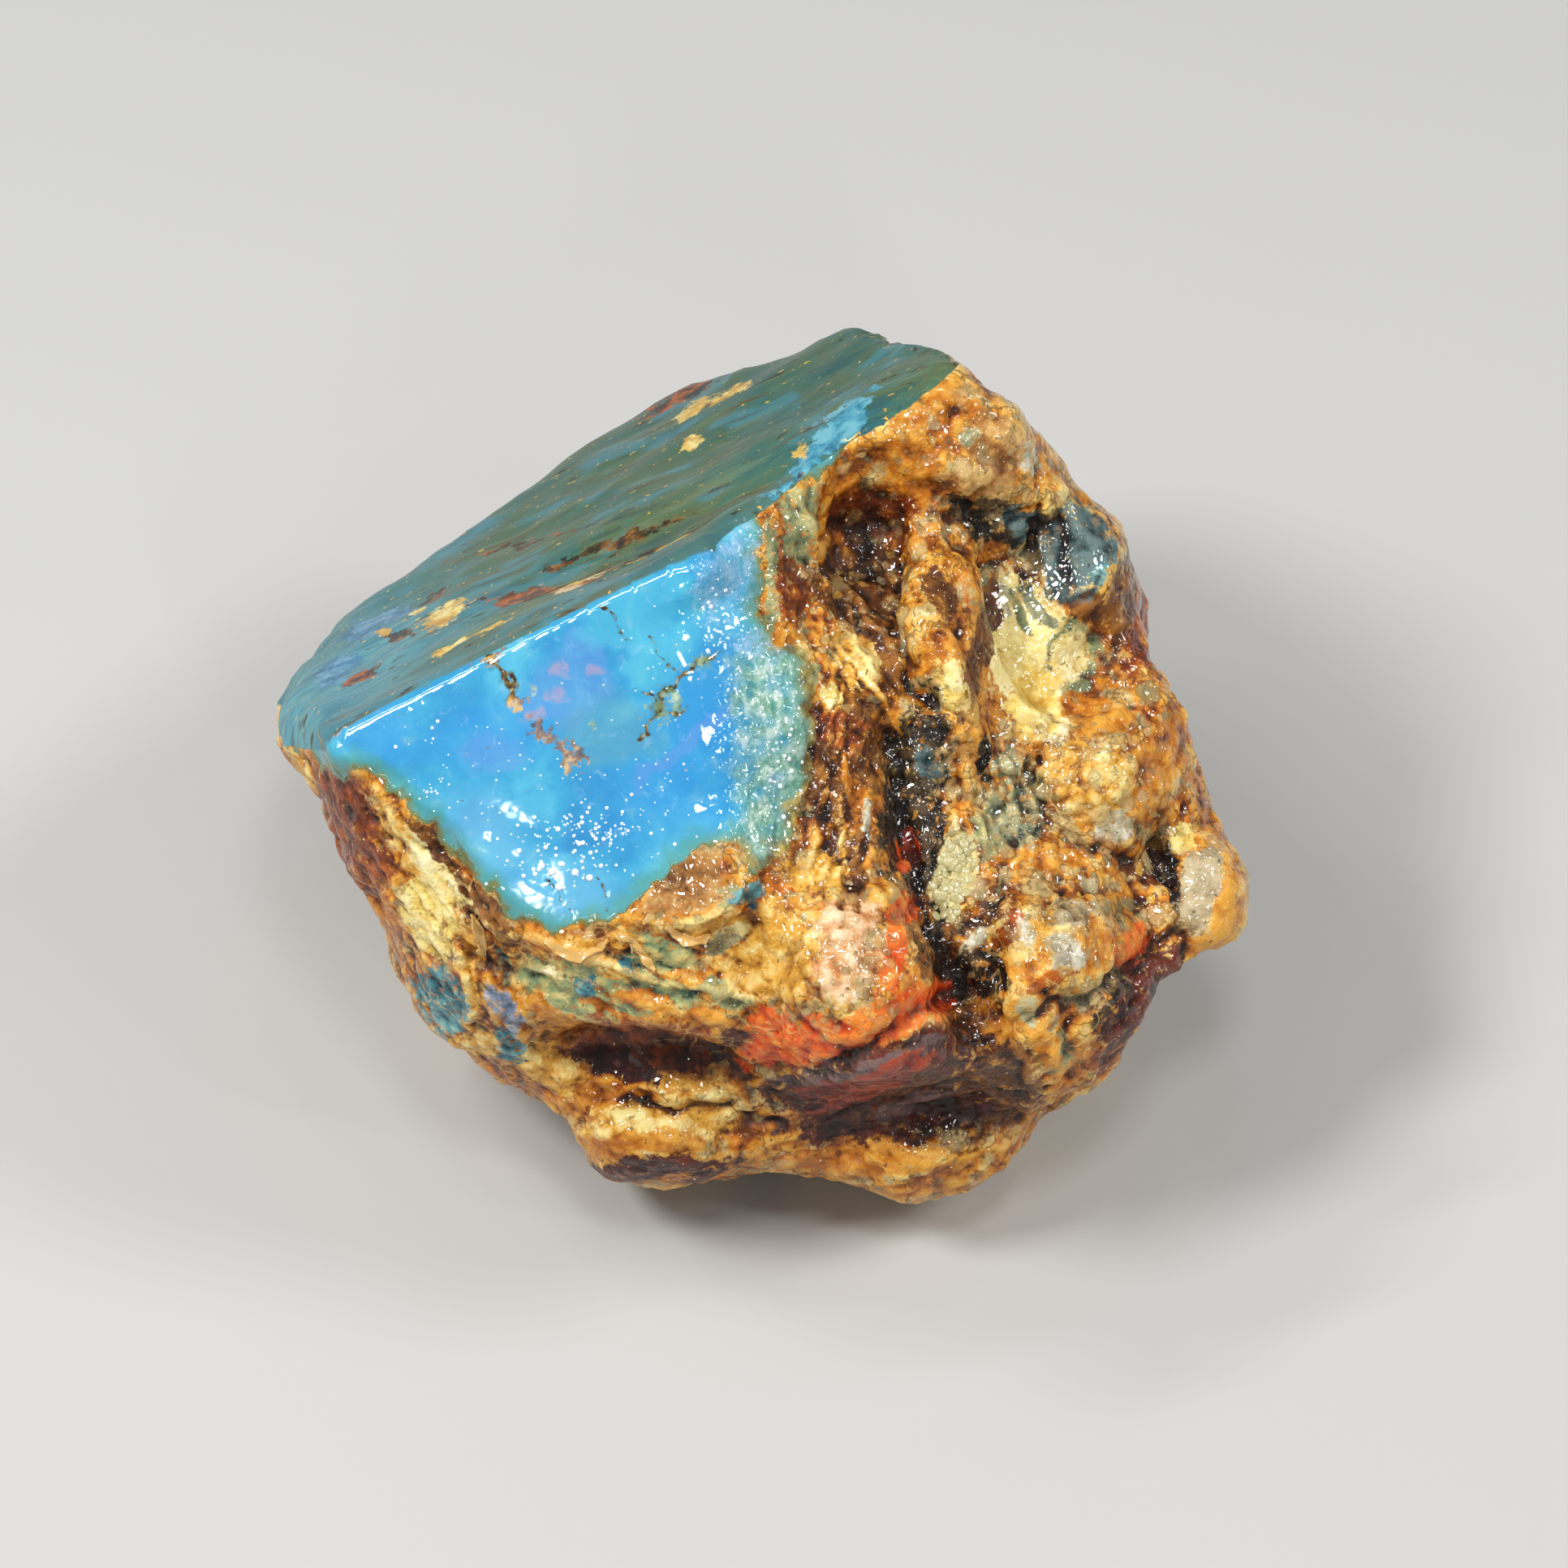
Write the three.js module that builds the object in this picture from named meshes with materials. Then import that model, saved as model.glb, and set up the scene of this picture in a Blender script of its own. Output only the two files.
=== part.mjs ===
// A rough opal nodule: one natural stone with two saw-cut, polished faces that meet at a straight edge,
// and a lumpy ironstone crust everywhere else. Lengths are in millimetres, +Z is up, and the stone stands
// on its flat foot with the origin at the middle of its footprint box.
//
// The stone is described by its show side, the side with the blue cut face. Show axes: ACROSS runs to the
// right, UP runs up the face and OUT comes out of it. SHOW_TILT_DEG turns them into the standing attitude.
import * as THREE from "three";
import { ImprovedNoise } from "three/addons/math/ImprovedNoise.js";
import { mergeVertices } from "three/addons/utils/BufferGeometryUtils.js";

// ---- driving dimensions ----
const SHOW_TILT_DEG = 50; // how far above the horizon the show side looks
const FRONT_DEPTH = 19; // from the girdle to the front of the uncut nodule
const BACK_DEPTH = 13; // from the girdle to its back
const FOOT_LEVEL = -17; // height of the flat foot, measured from the nodule's heart
const MIDDLE_LEVEL = -2; // the girdle's mean level OUT, for the middle of the front and back
const SQUARENESS = 3; // 2 is an ellipse's shoulder, higher is boxier
const FIELD_SCALE = 18; // turns the shoulder's ratio into millimetres
const GIRDLE_STEPS = 720; // directions round the girdle that are looked up
const GIRDLE_SAMPLES = 12 * GIRDLE_STEPS; // points along its curve that fill them
const BROAD_REACH = 26; // steps on each side that its broad shape averages
const RIM_FADE = 0.8; // the share of the way out where the girdle's own level takes over
const BUMPS_FADE = [0.25, 0.75]; // the share of the depth over which the girdle's bumps fade out
const SEARCH_FROM = 34; // a ray's first step outside the nodule
const SEARCH_STEP = 0.35;
const BISECTIONS = 18;
const FACET_DETAIL = 21; // the surface has 20 * (FACET_DETAIL + 1)^2 triangles
const GROWTH_ROUNDS = 26; // the swellings and hollows grow in over this many rounds
const SETTLED_ROUNDS = 6; // rounds after that at full growth
const EVEN_SHARE = 0.5; // how far each round moves a corner towards the middle of its neighbours
const SETTLE_STEPS = 2;
const PROBE = 0.05; // the step that measures the field's slope, in mm
const LEAST_SLOPE = 0.3;

const vec = (x, y, z) => new THREE.Vector3(x, y, z);

// The girdle is the nodule's outline seen square to its show side, with how far OUT its widest line runs.
const GIRDLE = new THREE.CatmullRomCurve3(
  [
    vec(-22.5, 1.3, 1),
    vec(-21.6, 4.6, 0),
    vec(-17.8, 8.1, -3),
    vec(-13, 11.9, -6),
    vec(-9.3, 15.1, -6.5),
    vec(-5.8, 17.9, -7.5),
    vec(-3.4, 19.2, -7.5),
    vec(0.8, 19.0, -6),
    vec(2.6, 19.9, -4),
    vec(5.2, 21, -2),
    vec(6.5, 19.6, -2),
    vec(8.4, 18.9, -3),
    vec(10.6, 16.3, -3),
    vec(14.8, 13, -2),
    vec(18.0, 8, -2),
    vec(18.3, 4.5, -2),
    vec(20.3, 0, -1),
    vec(21, -2.9, 0),
    vec(22.1, -5.4, 1),
    vec(21.8, -7.8, 1),
    vec(18.3, -8.9, 0),
    vec(17.1, -12.1, -2),
    vec(15.1, -15.1, -3),
    vec(12.3, -17.4, -4),
    vec(9.8, -18.9, -4),
    vec(7.2, -19.5, -4),
    vec(4.3, -19.1, -4),
    vec(0.9, -18.6, -5),
    vec(-2.1, -18.8, -4),
    vec(-5.6, -19.2, -4),
    vec(-7.2, -18.6, -4),
    vec(-8.8, -16.4, -4),
    vec(-11.4, -14.6, -3),
    vec(-13.6, -13.1, -3),
    vec(-16.2, -10.8, -2),
    vec(-18.1, -6.5, -2),
    vec(-19.4, -3.4, -1),
    vec(-20.4, -1, 0),
  ],
  true,
);

// The stone lies behind each of these planes. soften is the round of the plane's edges, in mm.
const SAWN_FACES = [
  { name: "window", through: vec(-8, 2, 13.6), facing: vec(-0.16, 0.06, 0.98), soften: 0.35 },
  { name: "top_cut", through: vec(-3.7, 9.3, 13.9), facing: vec(-0.459, 0.841, 0.286), soften: 0.35 },
];
const NATURAL_FACES = [
  { name: "left_bevel", through: vec(-18.5, 2, 11.9), facing: vec(-0.93, 0.05, 0.37), soften: 0.8 },
  { name: "left_flank", through: vec(-15.2, -2.7, 12.3), facing: vec(-0.68, -0.58, 0.45), soften: 1.2 },
  { name: "brow", through: vec(-8.9, -8, 14), facing: vec(-0.08, -0.44, 0.9), soften: 0.8 },
  { name: "right_band", through: vec(-1.9, 3, 14.5), facing: vec(0.49, 0.18, 0.85), soften: 0.9 },
  { name: "right_front", through: vec(13, -2, 9.6), facing: vec(0.36, 0.06, 0.93), soften: 2.5 },
  { name: "crown_front", through: vec(7.4, 15, 9.5), facing: vec(0.1, 0.5, 0.86), soften: 2.0 },
  { name: "foot_front", through: vec(-2, -17.8, 6), facing: vec(0, -0.82, 0.57), soften: 2.4 },
];
for (const face of [...SAWN_FACES, ...NATURAL_FACES]) {
  face.plane = new THREE.Plane().setFromNormalAndCoplanarPoint(face.facing.normalize(), face.through);
}

// Swellings and hollows, each a smooth hump of the surface: rise is positive outwards.
// size is how far it reaches ACROSS, UP and OUT before turning, and turn rotates it in the show plane.
const SWELLS = [
  { name: "crown", at: vec(6.6, 15.6, 7), size: vec(4.6, 2.6, 6), turn: -12, rise: 1.6 },
  { name: "crown_right", at: vec(11.4, 14.0, 6), size: vec(2.4, 2.4, 5), turn: -35, rise: 1.0 },
  { name: "cave", at: vec(5.2, 10.2, 12), size: vec(1.9, 3.2, 5), turn: 0, rise: -4.0 },
  { name: "partition", at: vec(8.9, 6.4, 9), size: vec(1.5, 4.4, 6), turn: 18, rise: 1.4 },
  { name: "pocket", at: vec(13.0, 6.0, 9), size: vec(2.6, 4.2, 5), turn: 18, rise: -3.2 },
  { name: "pocket_brow", at: vec(11.2, 11.2, 8), size: vec(3.0, 1.9, 5), turn: -12, rise: -1.4 },
  { name: "glossy_boss", at: vec(15.4, 9.6, 6), size: vec(1.7, 3.0, 4), turn: 15, rise: 1.6 },
  { name: "right_cheek", at: vec(17.2, 0.0, 8), size: vec(3.0, 3.2, 6), turn: 10, rise: 1.9 },
  { name: "right_chin", at: vec(14.2, -8.4, 9), size: vec(4.2, 3, 6), turn: -6, rise: 2.2 },
  { name: "knob", at: vec(20.6, -6.2, 4), size: vec(2.2, 2.8, 4), turn: -8, rise: 1.4 },
  { name: "knob_gap", at: vec(18.2, -5.4, 7), size: vec(1.3, 2.6, 5), turn: -20, rise: -1.3 },
  { name: "red_lump", at: vec(4.9, -10.4, 12), size: vec(3.7, 4.2, 6), turn: 0, rise: 3.4 },
  { name: "red_lump_root", at: vec(0, -9.8, 14), size: vec(1.5, 3.0, 5), turn: 20, rise: -1.3 },
  { name: "undercut", at: vec(-4.0, -14.8, 10), size: vec(5.0, 2.1, 5), turn: -6, rise: -3.6 },
  { name: "undercut_right", at: vec(6, -16.4, 8), size: vec(5.6, 2.0, 5), turn: 8, rise: -1.9 },
  { name: "left_toe", at: vec(-4.6, -18.4, 1), size: vec(4, 2.0, 5), turn: 0, rise: 1.0 },
  { name: "right_toe", at: vec(7.2, -18.8, 0), size: vec(5, 1.9, 5), turn: 4, rise: 0.7 },
  { name: "left_cheek", at: vec(-16.0, -5.6, 7), size: vec(1.8, 4.4, 5), turn: 30, rise: 1.5 },
  { name: "left_jowl", at: vec(-13.4, -11.6, 6), size: vec(3.2, 2.2, 5), turn: -30, rise: 1.5 },
  { name: "brow_crust", at: vec(-2.2, -5.2, 15), size: vec(2.2, 1.8, 3), turn: 25, rise: 0.9 },
];

// Long furrows between the crust's folds, each a path with its half-width and depth.
const FURROWS = [
  {
    name: "main_furrow",
    path: [
      vec(4.0, 9.1, 12),
      vec(4.8, 5.3, 12),
      vec(6.6, 1.5, 12),
      vec(7.4, -2.3, 12),
      vec(8.6, -6.5, 12),
      vec(9.8, -11, 11),
    ],
    halfWidth: 1.3,
    depth: 3.2,
  },
  {
    name: "cheek_furrow",
    path: [vec(14.2, 1.5, 9), vec(11.5, -1, 10), vec(11, -5, 11), vec(10, -9, 11)],
    halfWidth: 1.1,
    depth: 1.2,
  },
  {
    name: "chin_furrow",
    path: [vec(9.8, -5.2, 12), vec(13, -4.8, 11), vec(16.5, -4, 9)],
    halfWidth: 1.0,
    depth: 1.0,
  },
];

// The crust's own unevenness, in layers from broad to fine: size of a lump and how far it swings.
const CRUST_LAYERS = [
  { lump: 9, swing: 0.7 },
  { lump: 4.2, swing: 0.5 },
  { lump: 2.2, swing: 0.28 },
];

const NOISE_CORNER = vec(7, 3, 5); // where in the noise the stone lies
const noise = new ImprovedNoise();

// ---- the nodule as a field: negative inside, zero on the surface, in millimetres ----
const girdleTable = (() => {
  const table = Array.from({ length: GIRDLE_STEPS }, () => null);
  for (let i = 0; i < GIRDLE_SAMPLES; i++) {
    const p = GIRDLE.getPoint(i / GIRDLE_SAMPLES);
    const turn = Math.atan2(p.y, p.x) / (2 * Math.PI);
    const slot = Math.floor((turn - Math.floor(turn)) * GIRDLE_STEPS) % GIRDLE_STEPS;
    table[slot] = { radius: Math.hypot(p.x, p.y), level: p.z };
  }
  return table;
})();

// Away from its widest line the nodule follows the girdle's broad shape only, without its small bumps.
const smoothTable = girdleTable.map((_, middle) => {
  const near = [];
  for (let i = -BROAD_REACH; i <= BROAD_REACH; i++) {
    near.push(girdleTable[(middle + i + GIRDLE_STEPS) % GIRDLE_STEPS]);
  }
  const mean = (key) => near.reduce((sum, entry) => sum + entry[key], 0) / near.length;
  return { radius: mean("radius"), level: mean("level") };
});

function lookUp(table, place, key) {
  const low = Math.floor(place) % GIRDLE_STEPS;
  const high = (low + 1) % GIRDLE_STEPS;
  return THREE.MathUtils.lerp(table[low][key], table[high][key], place - Math.floor(place));
}

// The larger of two fields, with the edge between them rounded.
function roundedMax(a, b, round) {
  const overlap = Math.max(round - Math.abs(a - b), 0) / round;
  return Math.max(a, b) + (overlap * overlap * round) / 4;
}

function uncutNodule(p) {
  const turn = Math.atan2(p.y, p.x) / (2 * Math.PI);
  const place = (turn - Math.floor(turn)) * GIRDLE_STEPS;
  const broadRadius = lookUp(smoothTable, place, "radius");
  const nearRim = THREE.MathUtils.smoothstep(Math.hypot(p.x, p.y) / broadRadius, 0, RIM_FADE);
  const level = THREE.MathUtils.lerp(MIDDLE_LEVEL, lookUp(smoothTable, place, "level"), nearRim);
  const depth = p.z > level ? FRONT_DEPTH : BACK_DEPTH;
  const forwards = Math.abs(p.z - level) / depth;
  const broad = THREE.MathUtils.smoothstep(forwards, ...BUMPS_FADE);
  const radius = THREE.MathUtils.lerp(lookUp(girdleTable, place, "radius"), broadRadius, broad);
  const sideways = Math.hypot(p.x, p.y) / radius;
  const reach = (sideways ** SQUARENESS + forwards ** SQUARENESS) ** (1 / SQUARENESS);
  return (reach - 1) * FIELD_SCALE;
}

function swellAt(p, swell) {
  const angle = THREE.MathUtils.degToRad(swell.turn);
  const dx = p.x - swell.at.x;
  const dy = p.y - swell.at.y;
  const along = (dx * Math.cos(angle) + dy * Math.sin(angle)) / swell.size.x;
  const upward = (dy * Math.cos(angle) - dx * Math.sin(angle)) / swell.size.y;
  const out = (p.z - swell.at.z) / swell.size.z;
  return swell.rise * Math.exp(-((along * along + upward * upward + out * out) ** 1.5) / 2);
}

const closest = vec(0, 0, 0);
const segment = new THREE.Line3();
function furrowAt(p, furrow) {
  let nearest = Infinity;
  for (let i = 1; i < furrow.path.length; i++) {
    segment.set(furrow.path[i - 1], furrow.path[i]).closestPointToPoint(p, true, closest);
    nearest = Math.min(nearest, closest.distanceTo(p));
  }
  return furrow.depth * Math.exp(-((nearest / furrow.halfWidth) ** 2) / 2);
}

const inNoise = vec(0, 0, 0);
function crustAt(p) {
  let swing = 0;
  for (const layer of CRUST_LAYERS) {
    inNoise.copy(p).divideScalar(layer.lump).add(NOISE_CORNER);
    swing += layer.swing * noise.noise(inNoise.x, inNoise.y, inNoise.z);
  }
  return swing;
}

// The crust's features come in with growth, from 0 to 1. The sawn faces cut through all of it.
function field(p, growth) {
  let body = uncutNodule(p);
  for (const face of NATURAL_FACES) body = roundedMax(body, face.plane.distanceToPoint(p), face.soften);
  for (const swell of SWELLS) body -= growth * swellAt(p, swell);
  for (const furrow of FURROWS) body += growth * furrowAt(p, furrow);
  body += growth * crustAt(p);
  for (const face of SAWN_FACES) body = roundedMax(body, face.plane.distanceToPoint(p), face.soften);
  return body;
}

// ---- the surface: each corner of a fine ball goes along its own ray to the smooth nodule's skin, and then
// follows the skin as the swellings and hollows grow in, so that overhangs don't fold it ----
function surfacePoint(direction) {
  const at = vec(0, 0, 0);
  let outside = SEARCH_FROM;
  while (outside > SEARCH_STEP && field(at.copy(direction).multiplyScalar(outside), 0) > 0) {
    outside -= SEARCH_STEP;
  }
  let inside = outside;
  outside += SEARCH_STEP;
  for (let i = 0; i < BISECTIONS; i++) {
    const middle = (inside + outside) / 2;
    if (field(at.copy(direction).multiplyScalar(middle), 0) > 0) outside = middle;
    else inside = middle;
  }
  return direction.clone().multiplyScalar((inside + outside) / 2);
}

const SHOW_TO_STANDING = new THREE.Matrix4().makeRotationX(
  THREE.MathUtils.degToRad(90 - SHOW_TILT_DEG),
);

// Moves p down or up the field's slope until it is on the surface.
function settle(p, growth) {
  const at = vec(0, 0, 0);
  const slope = vec(0, 0, 0);
  for (let i = 0; i < SETTLE_STEPS; i++) {
    const here = field(p, growth);
    slope.set(
      field(at.set(p.x + PROBE, p.y, p.z), growth) - here,
      field(at.set(p.x, p.y + PROBE, p.z), growth) - here,
      field(at.set(p.x, p.y, p.z + PROBE), growth) - here,
    ).divideScalar(PROBE);
    p.addScaledVector(slope, -here / Math.max(slope.lengthSq(), LEAST_SLOPE));
  }
  return p;
}

function neighboursOf(geometry) {
  const around = Array.from({ length: geometry.getAttribute("position").count }, () => new Set());
  const index = geometry.getIndex().array;
  for (let i = 0; i < index.length; i += 3) {
    for (let k = 0; k < 3; k++) {
      around[index[i + k]].add(index[i + ((k + 1) % 3)]).add(index[i + ((k + 2) % 3)]);
    }
  }
  return around.map((set) => [...set]);
}

// Evens the corners out along the surface while its swellings and hollows grow in.
function growSurface(points, around) {
  for (let round = 1; round <= GROWTH_ROUNDS + SETTLED_ROUNDS; round++) {
    const growth = Math.min(round / GROWTH_ROUNDS, 1);
    const moved = points.map((p, i) => {
      const mean = vec(0, 0, 0);
      for (const j of around[i]) mean.add(points[j]);
      return p.clone().lerp(mean.divideScalar(around[i].length), EVEN_SHARE);
    });
    moved.forEach((p, i) => points[i].copy(settle(p, growth)));
  }
}

// The stone in its standing attitude, with everything below the foot's level pressed flat.
function stoneGeometry() {
  const ball = new THREE.IcosahedronGeometry(1, FACET_DETAIL);
  ball.deleteAttribute("normal");
  ball.deleteAttribute("uv");
  const geometry = mergeVertices(ball, 1e-5);
  const corners = geometry.getAttribute("position");
  const points = Array.from({ length: corners.count }, (_, i) =>
    surfacePoint(vec(0, 0, 0).fromBufferAttribute(corners, i).normalize()),
  );
  growSurface(points, neighboursOf(geometry));
  points.forEach((p, i) => {
    p.applyMatrix4(SHOW_TO_STANDING);
    corners.setXYZ(i, p.x, p.y, Math.max(p.z, FOOT_LEVEL));
  });
  geometry.computeBoundingBox();
  const box = geometry.boundingBox;
  geometry.translate(-(box.min.x + box.max.x) / 2, -(box.min.y + box.max.y) / 2, -box.min.z);
  geometry.computeVertexNormals();
  return geometry;
}

const opalAndCrust = new THREE.MeshStandardMaterial({ color: 0x8a6a38, roughness: 0.35, metalness: 0 });
const stone = new THREE.Mesh(stoneGeometry(), opalAndCrust);
stone.name = "rough_opal_stone";

const part = new THREE.Group();
part.add(stone);
export default part;
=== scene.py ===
import bpy
import numpy as np
from mathutils import Matrix, Vector, noise


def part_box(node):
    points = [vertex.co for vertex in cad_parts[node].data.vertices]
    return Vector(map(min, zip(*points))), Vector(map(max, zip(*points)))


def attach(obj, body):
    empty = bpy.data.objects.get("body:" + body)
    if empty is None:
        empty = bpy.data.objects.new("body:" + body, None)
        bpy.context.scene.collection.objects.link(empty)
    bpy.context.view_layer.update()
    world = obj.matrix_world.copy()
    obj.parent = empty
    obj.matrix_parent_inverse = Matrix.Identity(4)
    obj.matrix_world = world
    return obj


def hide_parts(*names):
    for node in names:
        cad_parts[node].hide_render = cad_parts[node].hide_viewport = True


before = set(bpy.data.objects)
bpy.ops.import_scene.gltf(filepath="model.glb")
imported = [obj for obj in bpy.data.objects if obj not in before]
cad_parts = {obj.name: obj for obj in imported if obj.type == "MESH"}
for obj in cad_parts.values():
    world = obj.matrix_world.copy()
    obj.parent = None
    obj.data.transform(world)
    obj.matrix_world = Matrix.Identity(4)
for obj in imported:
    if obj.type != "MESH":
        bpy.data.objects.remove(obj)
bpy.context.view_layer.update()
stone_low, stone_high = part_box("rough_opal_stone")
print("stone size in mm:", [round(1000 * side, 1) for side in stone_high - stone_low])

# %% [markdown]
# The stone is easiest to describe from its show side, the side with the blue window. That side looks up
# at 50 degrees, so these axes are tilted: ACROSS runs to the right, UP runs up the show side and OUT
# comes out of it. A place in show axes is in millimetres from the heart of the stone.
# %% Show axes
MM = 0.001
TILT = np.radians(50)
ACROSS = np.array([1.0, 0.0, 0.0])
UP = np.array([0.0, np.sin(TILT), np.cos(TILT)])
OUT = np.array([0.0, -np.cos(TILT), np.sin(TILT)])
SHOW_AXES = np.stack([ACROSS, UP, OUT])
HEART = np.array([-0.05, -1.80, 17.0])


def to_show(points):
    """Standing metres to show millimetres."""
    return (points / MM - HEART) @ SHOW_AXES.T


def from_show(spots):
    """Show millimetres to standing metres."""
    return (spots @ SHOW_AXES + HEART) * MM


def unit(vector):
    """The same direction, one long."""
    vector = np.array(vector, dtype=float)
    return vector / np.linalg.norm(vector)


print("the heart stands at", from_show(np.zeros(3)).round(4))

# %% [markdown]
# ## Camera
# The stone is seen from 50 degrees up, square to its show side, through a long lens that keeps its
# proportions true.
# %% Camera
VIEW_DISTANCE = 400
VIEW_WIDTH = 73.4
SENSOR = 36
AIM = np.array([1.178, -0.988, 0.0])

eye = from_show(AIM + np.array([0.0, 0.0, VIEW_DISTANCE]))
bpy.ops.object.camera_add(location=eye, rotation=(np.pi / 2 - TILT, 0, 0))
camera = bpy.context.object
camera.data.sensor_width = SENSOR
camera.data.lens = SENSOR * VIEW_DISTANCE / VIEW_WIDTH
bpy.context.scene.camera = camera
bpy.context.scene.view_settings.view_transform = "Standard"
print("lens in mm:", round(camera.data.lens, 1))

# %% [markdown]
# ## Floor and light
# A plain pale floor. The key light comes from the upper left and a weaker one from the right, so the
# folds of the crust throw short shadows. The other lights are there for the wet coat, because each one
# is mirrored by some part of the stone: the front, the glaze and the glints by the crust, the top strip
# by the ridge, and the smallest strip by one spot low on the window.
# %% Floor
bpy.ops.mesh.primitive_plane_add(size=4, location=(0, 0, 0))
floor = bpy.context.object
floor.name = "floor"
floor_paint = bpy.data.materials.new("pale_floor")
floor_paint.use_nodes = True
floor_skin = floor_paint.node_tree.nodes["Principled BSDF"]
floor_skin.inputs["Base Color"].default_value = (0.56, 0.555, 0.54, 1)
floor_skin.inputs["Roughness"].default_value = 0.9
floor.data.materials.append(floor_paint)


# %% Lights
LIGHTS = [
    ("key", (-0.54, 0.34, 0.77), 340, 84, 0.66),
    ("right", (0.70, 0.42, 0.58), 340, 84, 0.39),
    ("top", (-0.56, 0.64, 0.53), 340, 26, 0.26, 110, (0.84, 0.53, -0.10)),
    ("front", (0.20, -0.24, 0.95), 460, 40, 0.12),
    ("glint_left", (0.02, 0.66, 0.75), 340, 12, 0.02),
    ("glaze", (0.06, 0.32, 0.94), 380, 64, 0.26),
    ("glint_right", (0.54, 0.16, 0.83), 340, 20, 0.07, 64, (0.2, -0.08, -0.1)),
    ("window_shine", (-0.3615, 0.0885, 0.925), 360, 2.8, 0.0026, 6, (0.67, -0.74, 0.0)),
]


def add_light(name, toward, distance, size, watts, length=None, along=None):
    """An area light, toward a direction in show axes, aimed at the heart of the stone.
    With a length it is a strip of that length, which lies along the direction named."""
    direction = unit(toward)
    place = Vector(from_show(direction * distance))
    bpy.ops.object.light_add(type="AREA", location=place)
    light = bpy.context.object
    light.name = name
    light.data.energy = watts
    if length is None:
        light.data.shape = "DISK"
        light.data.size = size * MM
        light.rotation_euler = (place - Vector(from_show(np.zeros(3)))).to_track_quat("Z", "Y").to_euler()
        return
    light.data.shape = "RECTANGLE"
    light.data.size = length * MM
    light.data.size_y = size * MM
    back = direction @ SHOW_AXES
    side = np.array(along) @ SHOW_AXES
    side = unit(side - back * (side @ back))
    turn = Matrix(np.stack([side, np.cross(back, side), back], axis=1).tolist())
    light.rotation_euler = turn.to_euler()


for settings in LIGHTS:
    add_light(*settings)
world = bpy.data.worlds.new("soft_grey")
world.use_nodes = True
world.node_tree.nodes["Background"].inputs["Color"].default_value = (0.20, 0.205, 0.21, 1)
bpy.context.scene.world = world

# %% [markdown]
# ## The stone's body
# The CAD stone has the right size and the big lumps, but its facets are a millimetre wide. Its mesh is
# copied, merged and subdivided, the show side once more than the rest, and then carved: folds, domes and
# flutes are pushed in or out along the surface, corner by corner, as a sculpting brush would.
# %% Copy the CAD stone and merge its corners
MERGE_WITHIN = 0.01
bpy.ops.object.select_all(action="DESELECT")
cad_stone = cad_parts["rough_opal_stone"]
stone = cad_stone.copy()
stone.data = cad_stone.data.copy()
stone.name = "opal_nodule"
bpy.context.scene.collection.objects.link(stone)
bpy.context.view_layer.objects.active = stone
stone.select_set(True)
bpy.ops.object.mode_set(mode="EDIT")
bpy.context.tool_settings.mesh_select_mode = (False, False, True)
bpy.ops.mesh.select_all(action="SELECT")
bpy.ops.mesh.remove_doubles(threshold=MERGE_WITHIN * MM)
bpy.ops.mesh.subdivide(number_cuts=1, smoothness=1)
bpy.ops.mesh.select_all(action="DESELECT")
bpy.ops.object.mode_set(mode="OBJECT")
print("after one subdivision:", len(stone.data.polygons), "faces")


# %% Read a vector from every corner or face
def read(items, field):
    flat = np.empty(3 * len(items))
    items.foreach_get(field, flat)
    return flat.reshape(-1, 3)


# %% [markdown]
# The two sawn planes are the same as in the CAD. ALONG is the direction of the straight edge where they
# meet, and DEPTH runs down the top cut, away from that edge.
# %% The sawn planes
WINDOW_POINT = np.array([-8, 2, 13.6])
WINDOW_FACING = unit((-0.16, 0.06, 0.98))
TOP_POINT = np.array([-3.7, 9.3, 13.9])
TOP_FACING = unit((-0.459, 0.841, 0.286))
ALONG = unit(np.cross(TOP_FACING, WINDOW_FACING))
DEPTH = np.cross(TOP_FACING, ALONG)
edge_level = np.linalg.solve(
    np.stack([TOP_FACING, WINDOW_FACING, ALONG]),
    [TOP_FACING @ TOP_POINT, WINDOW_FACING @ WINDOW_POINT, ALONG @ TOP_POINT],
)
print("edge runs along", ALONG.round(3), "down", DEPTH.round(3), "through", edge_level.round(2))


def above_window(spots):
    return (spots - WINDOW_POINT) @ WINDOW_FACING


def above_top(spots):
    return (spots - TOP_POINT) @ TOP_FACING


# %% Subdivide the show side and the straight edge once more
NEAR_EDGE = 0.9
middles = to_show(read(stone.data.polygons, "center"))
turned = read(stone.data.polygons, "normal") @ SHOW_AXES.T
near_edge = (np.abs(above_top(middles)) < NEAR_EDGE) & (above_window(middles) > -NEAR_EDGE)
seen = (turned[:, 2] > 0.08) & (above_top(middles) < -0.35)
fine = seen | near_edge
stone.data.polygons.foreach_set("select", fine)
bpy.ops.object.mode_set(mode="EDIT")
bpy.ops.mesh.subdivide(number_cuts=2, smoothness=1)
bpy.ops.mesh.select_all(action="SELECT")
bpy.ops.mesh.quads_convert_to_tris()
bpy.ops.object.mode_set(mode="OBJECT")
bpy.ops.object.shade_smooth()
print("fine faces:", int(fine.sum()), "now", len(stone.data.polygons), "faces")

spots = to_show(read(stone.data.vertices, "co"))
facing = read(stone.data.vertices, "normal") @ SHOW_AXES.T


# %% [markdown]
# ## Noise to carve with
# Blender's own noise library gives soft noise, turbulence and Voronoi cells for any place. Places are
# divided by a size in millimetres, so each pattern can be said in real lengths.
# %% Noise helpers
DOME_RADIUS = 0.8


def soft(places, size, octaves, start):
    """Soft noise from about -1 to 1, with features about size mm wide."""
    rows = (places / size + start).tolist()
    return np.array([noise.fractal(row, 1.0, 2.0, octaves) for row in rows])


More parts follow.
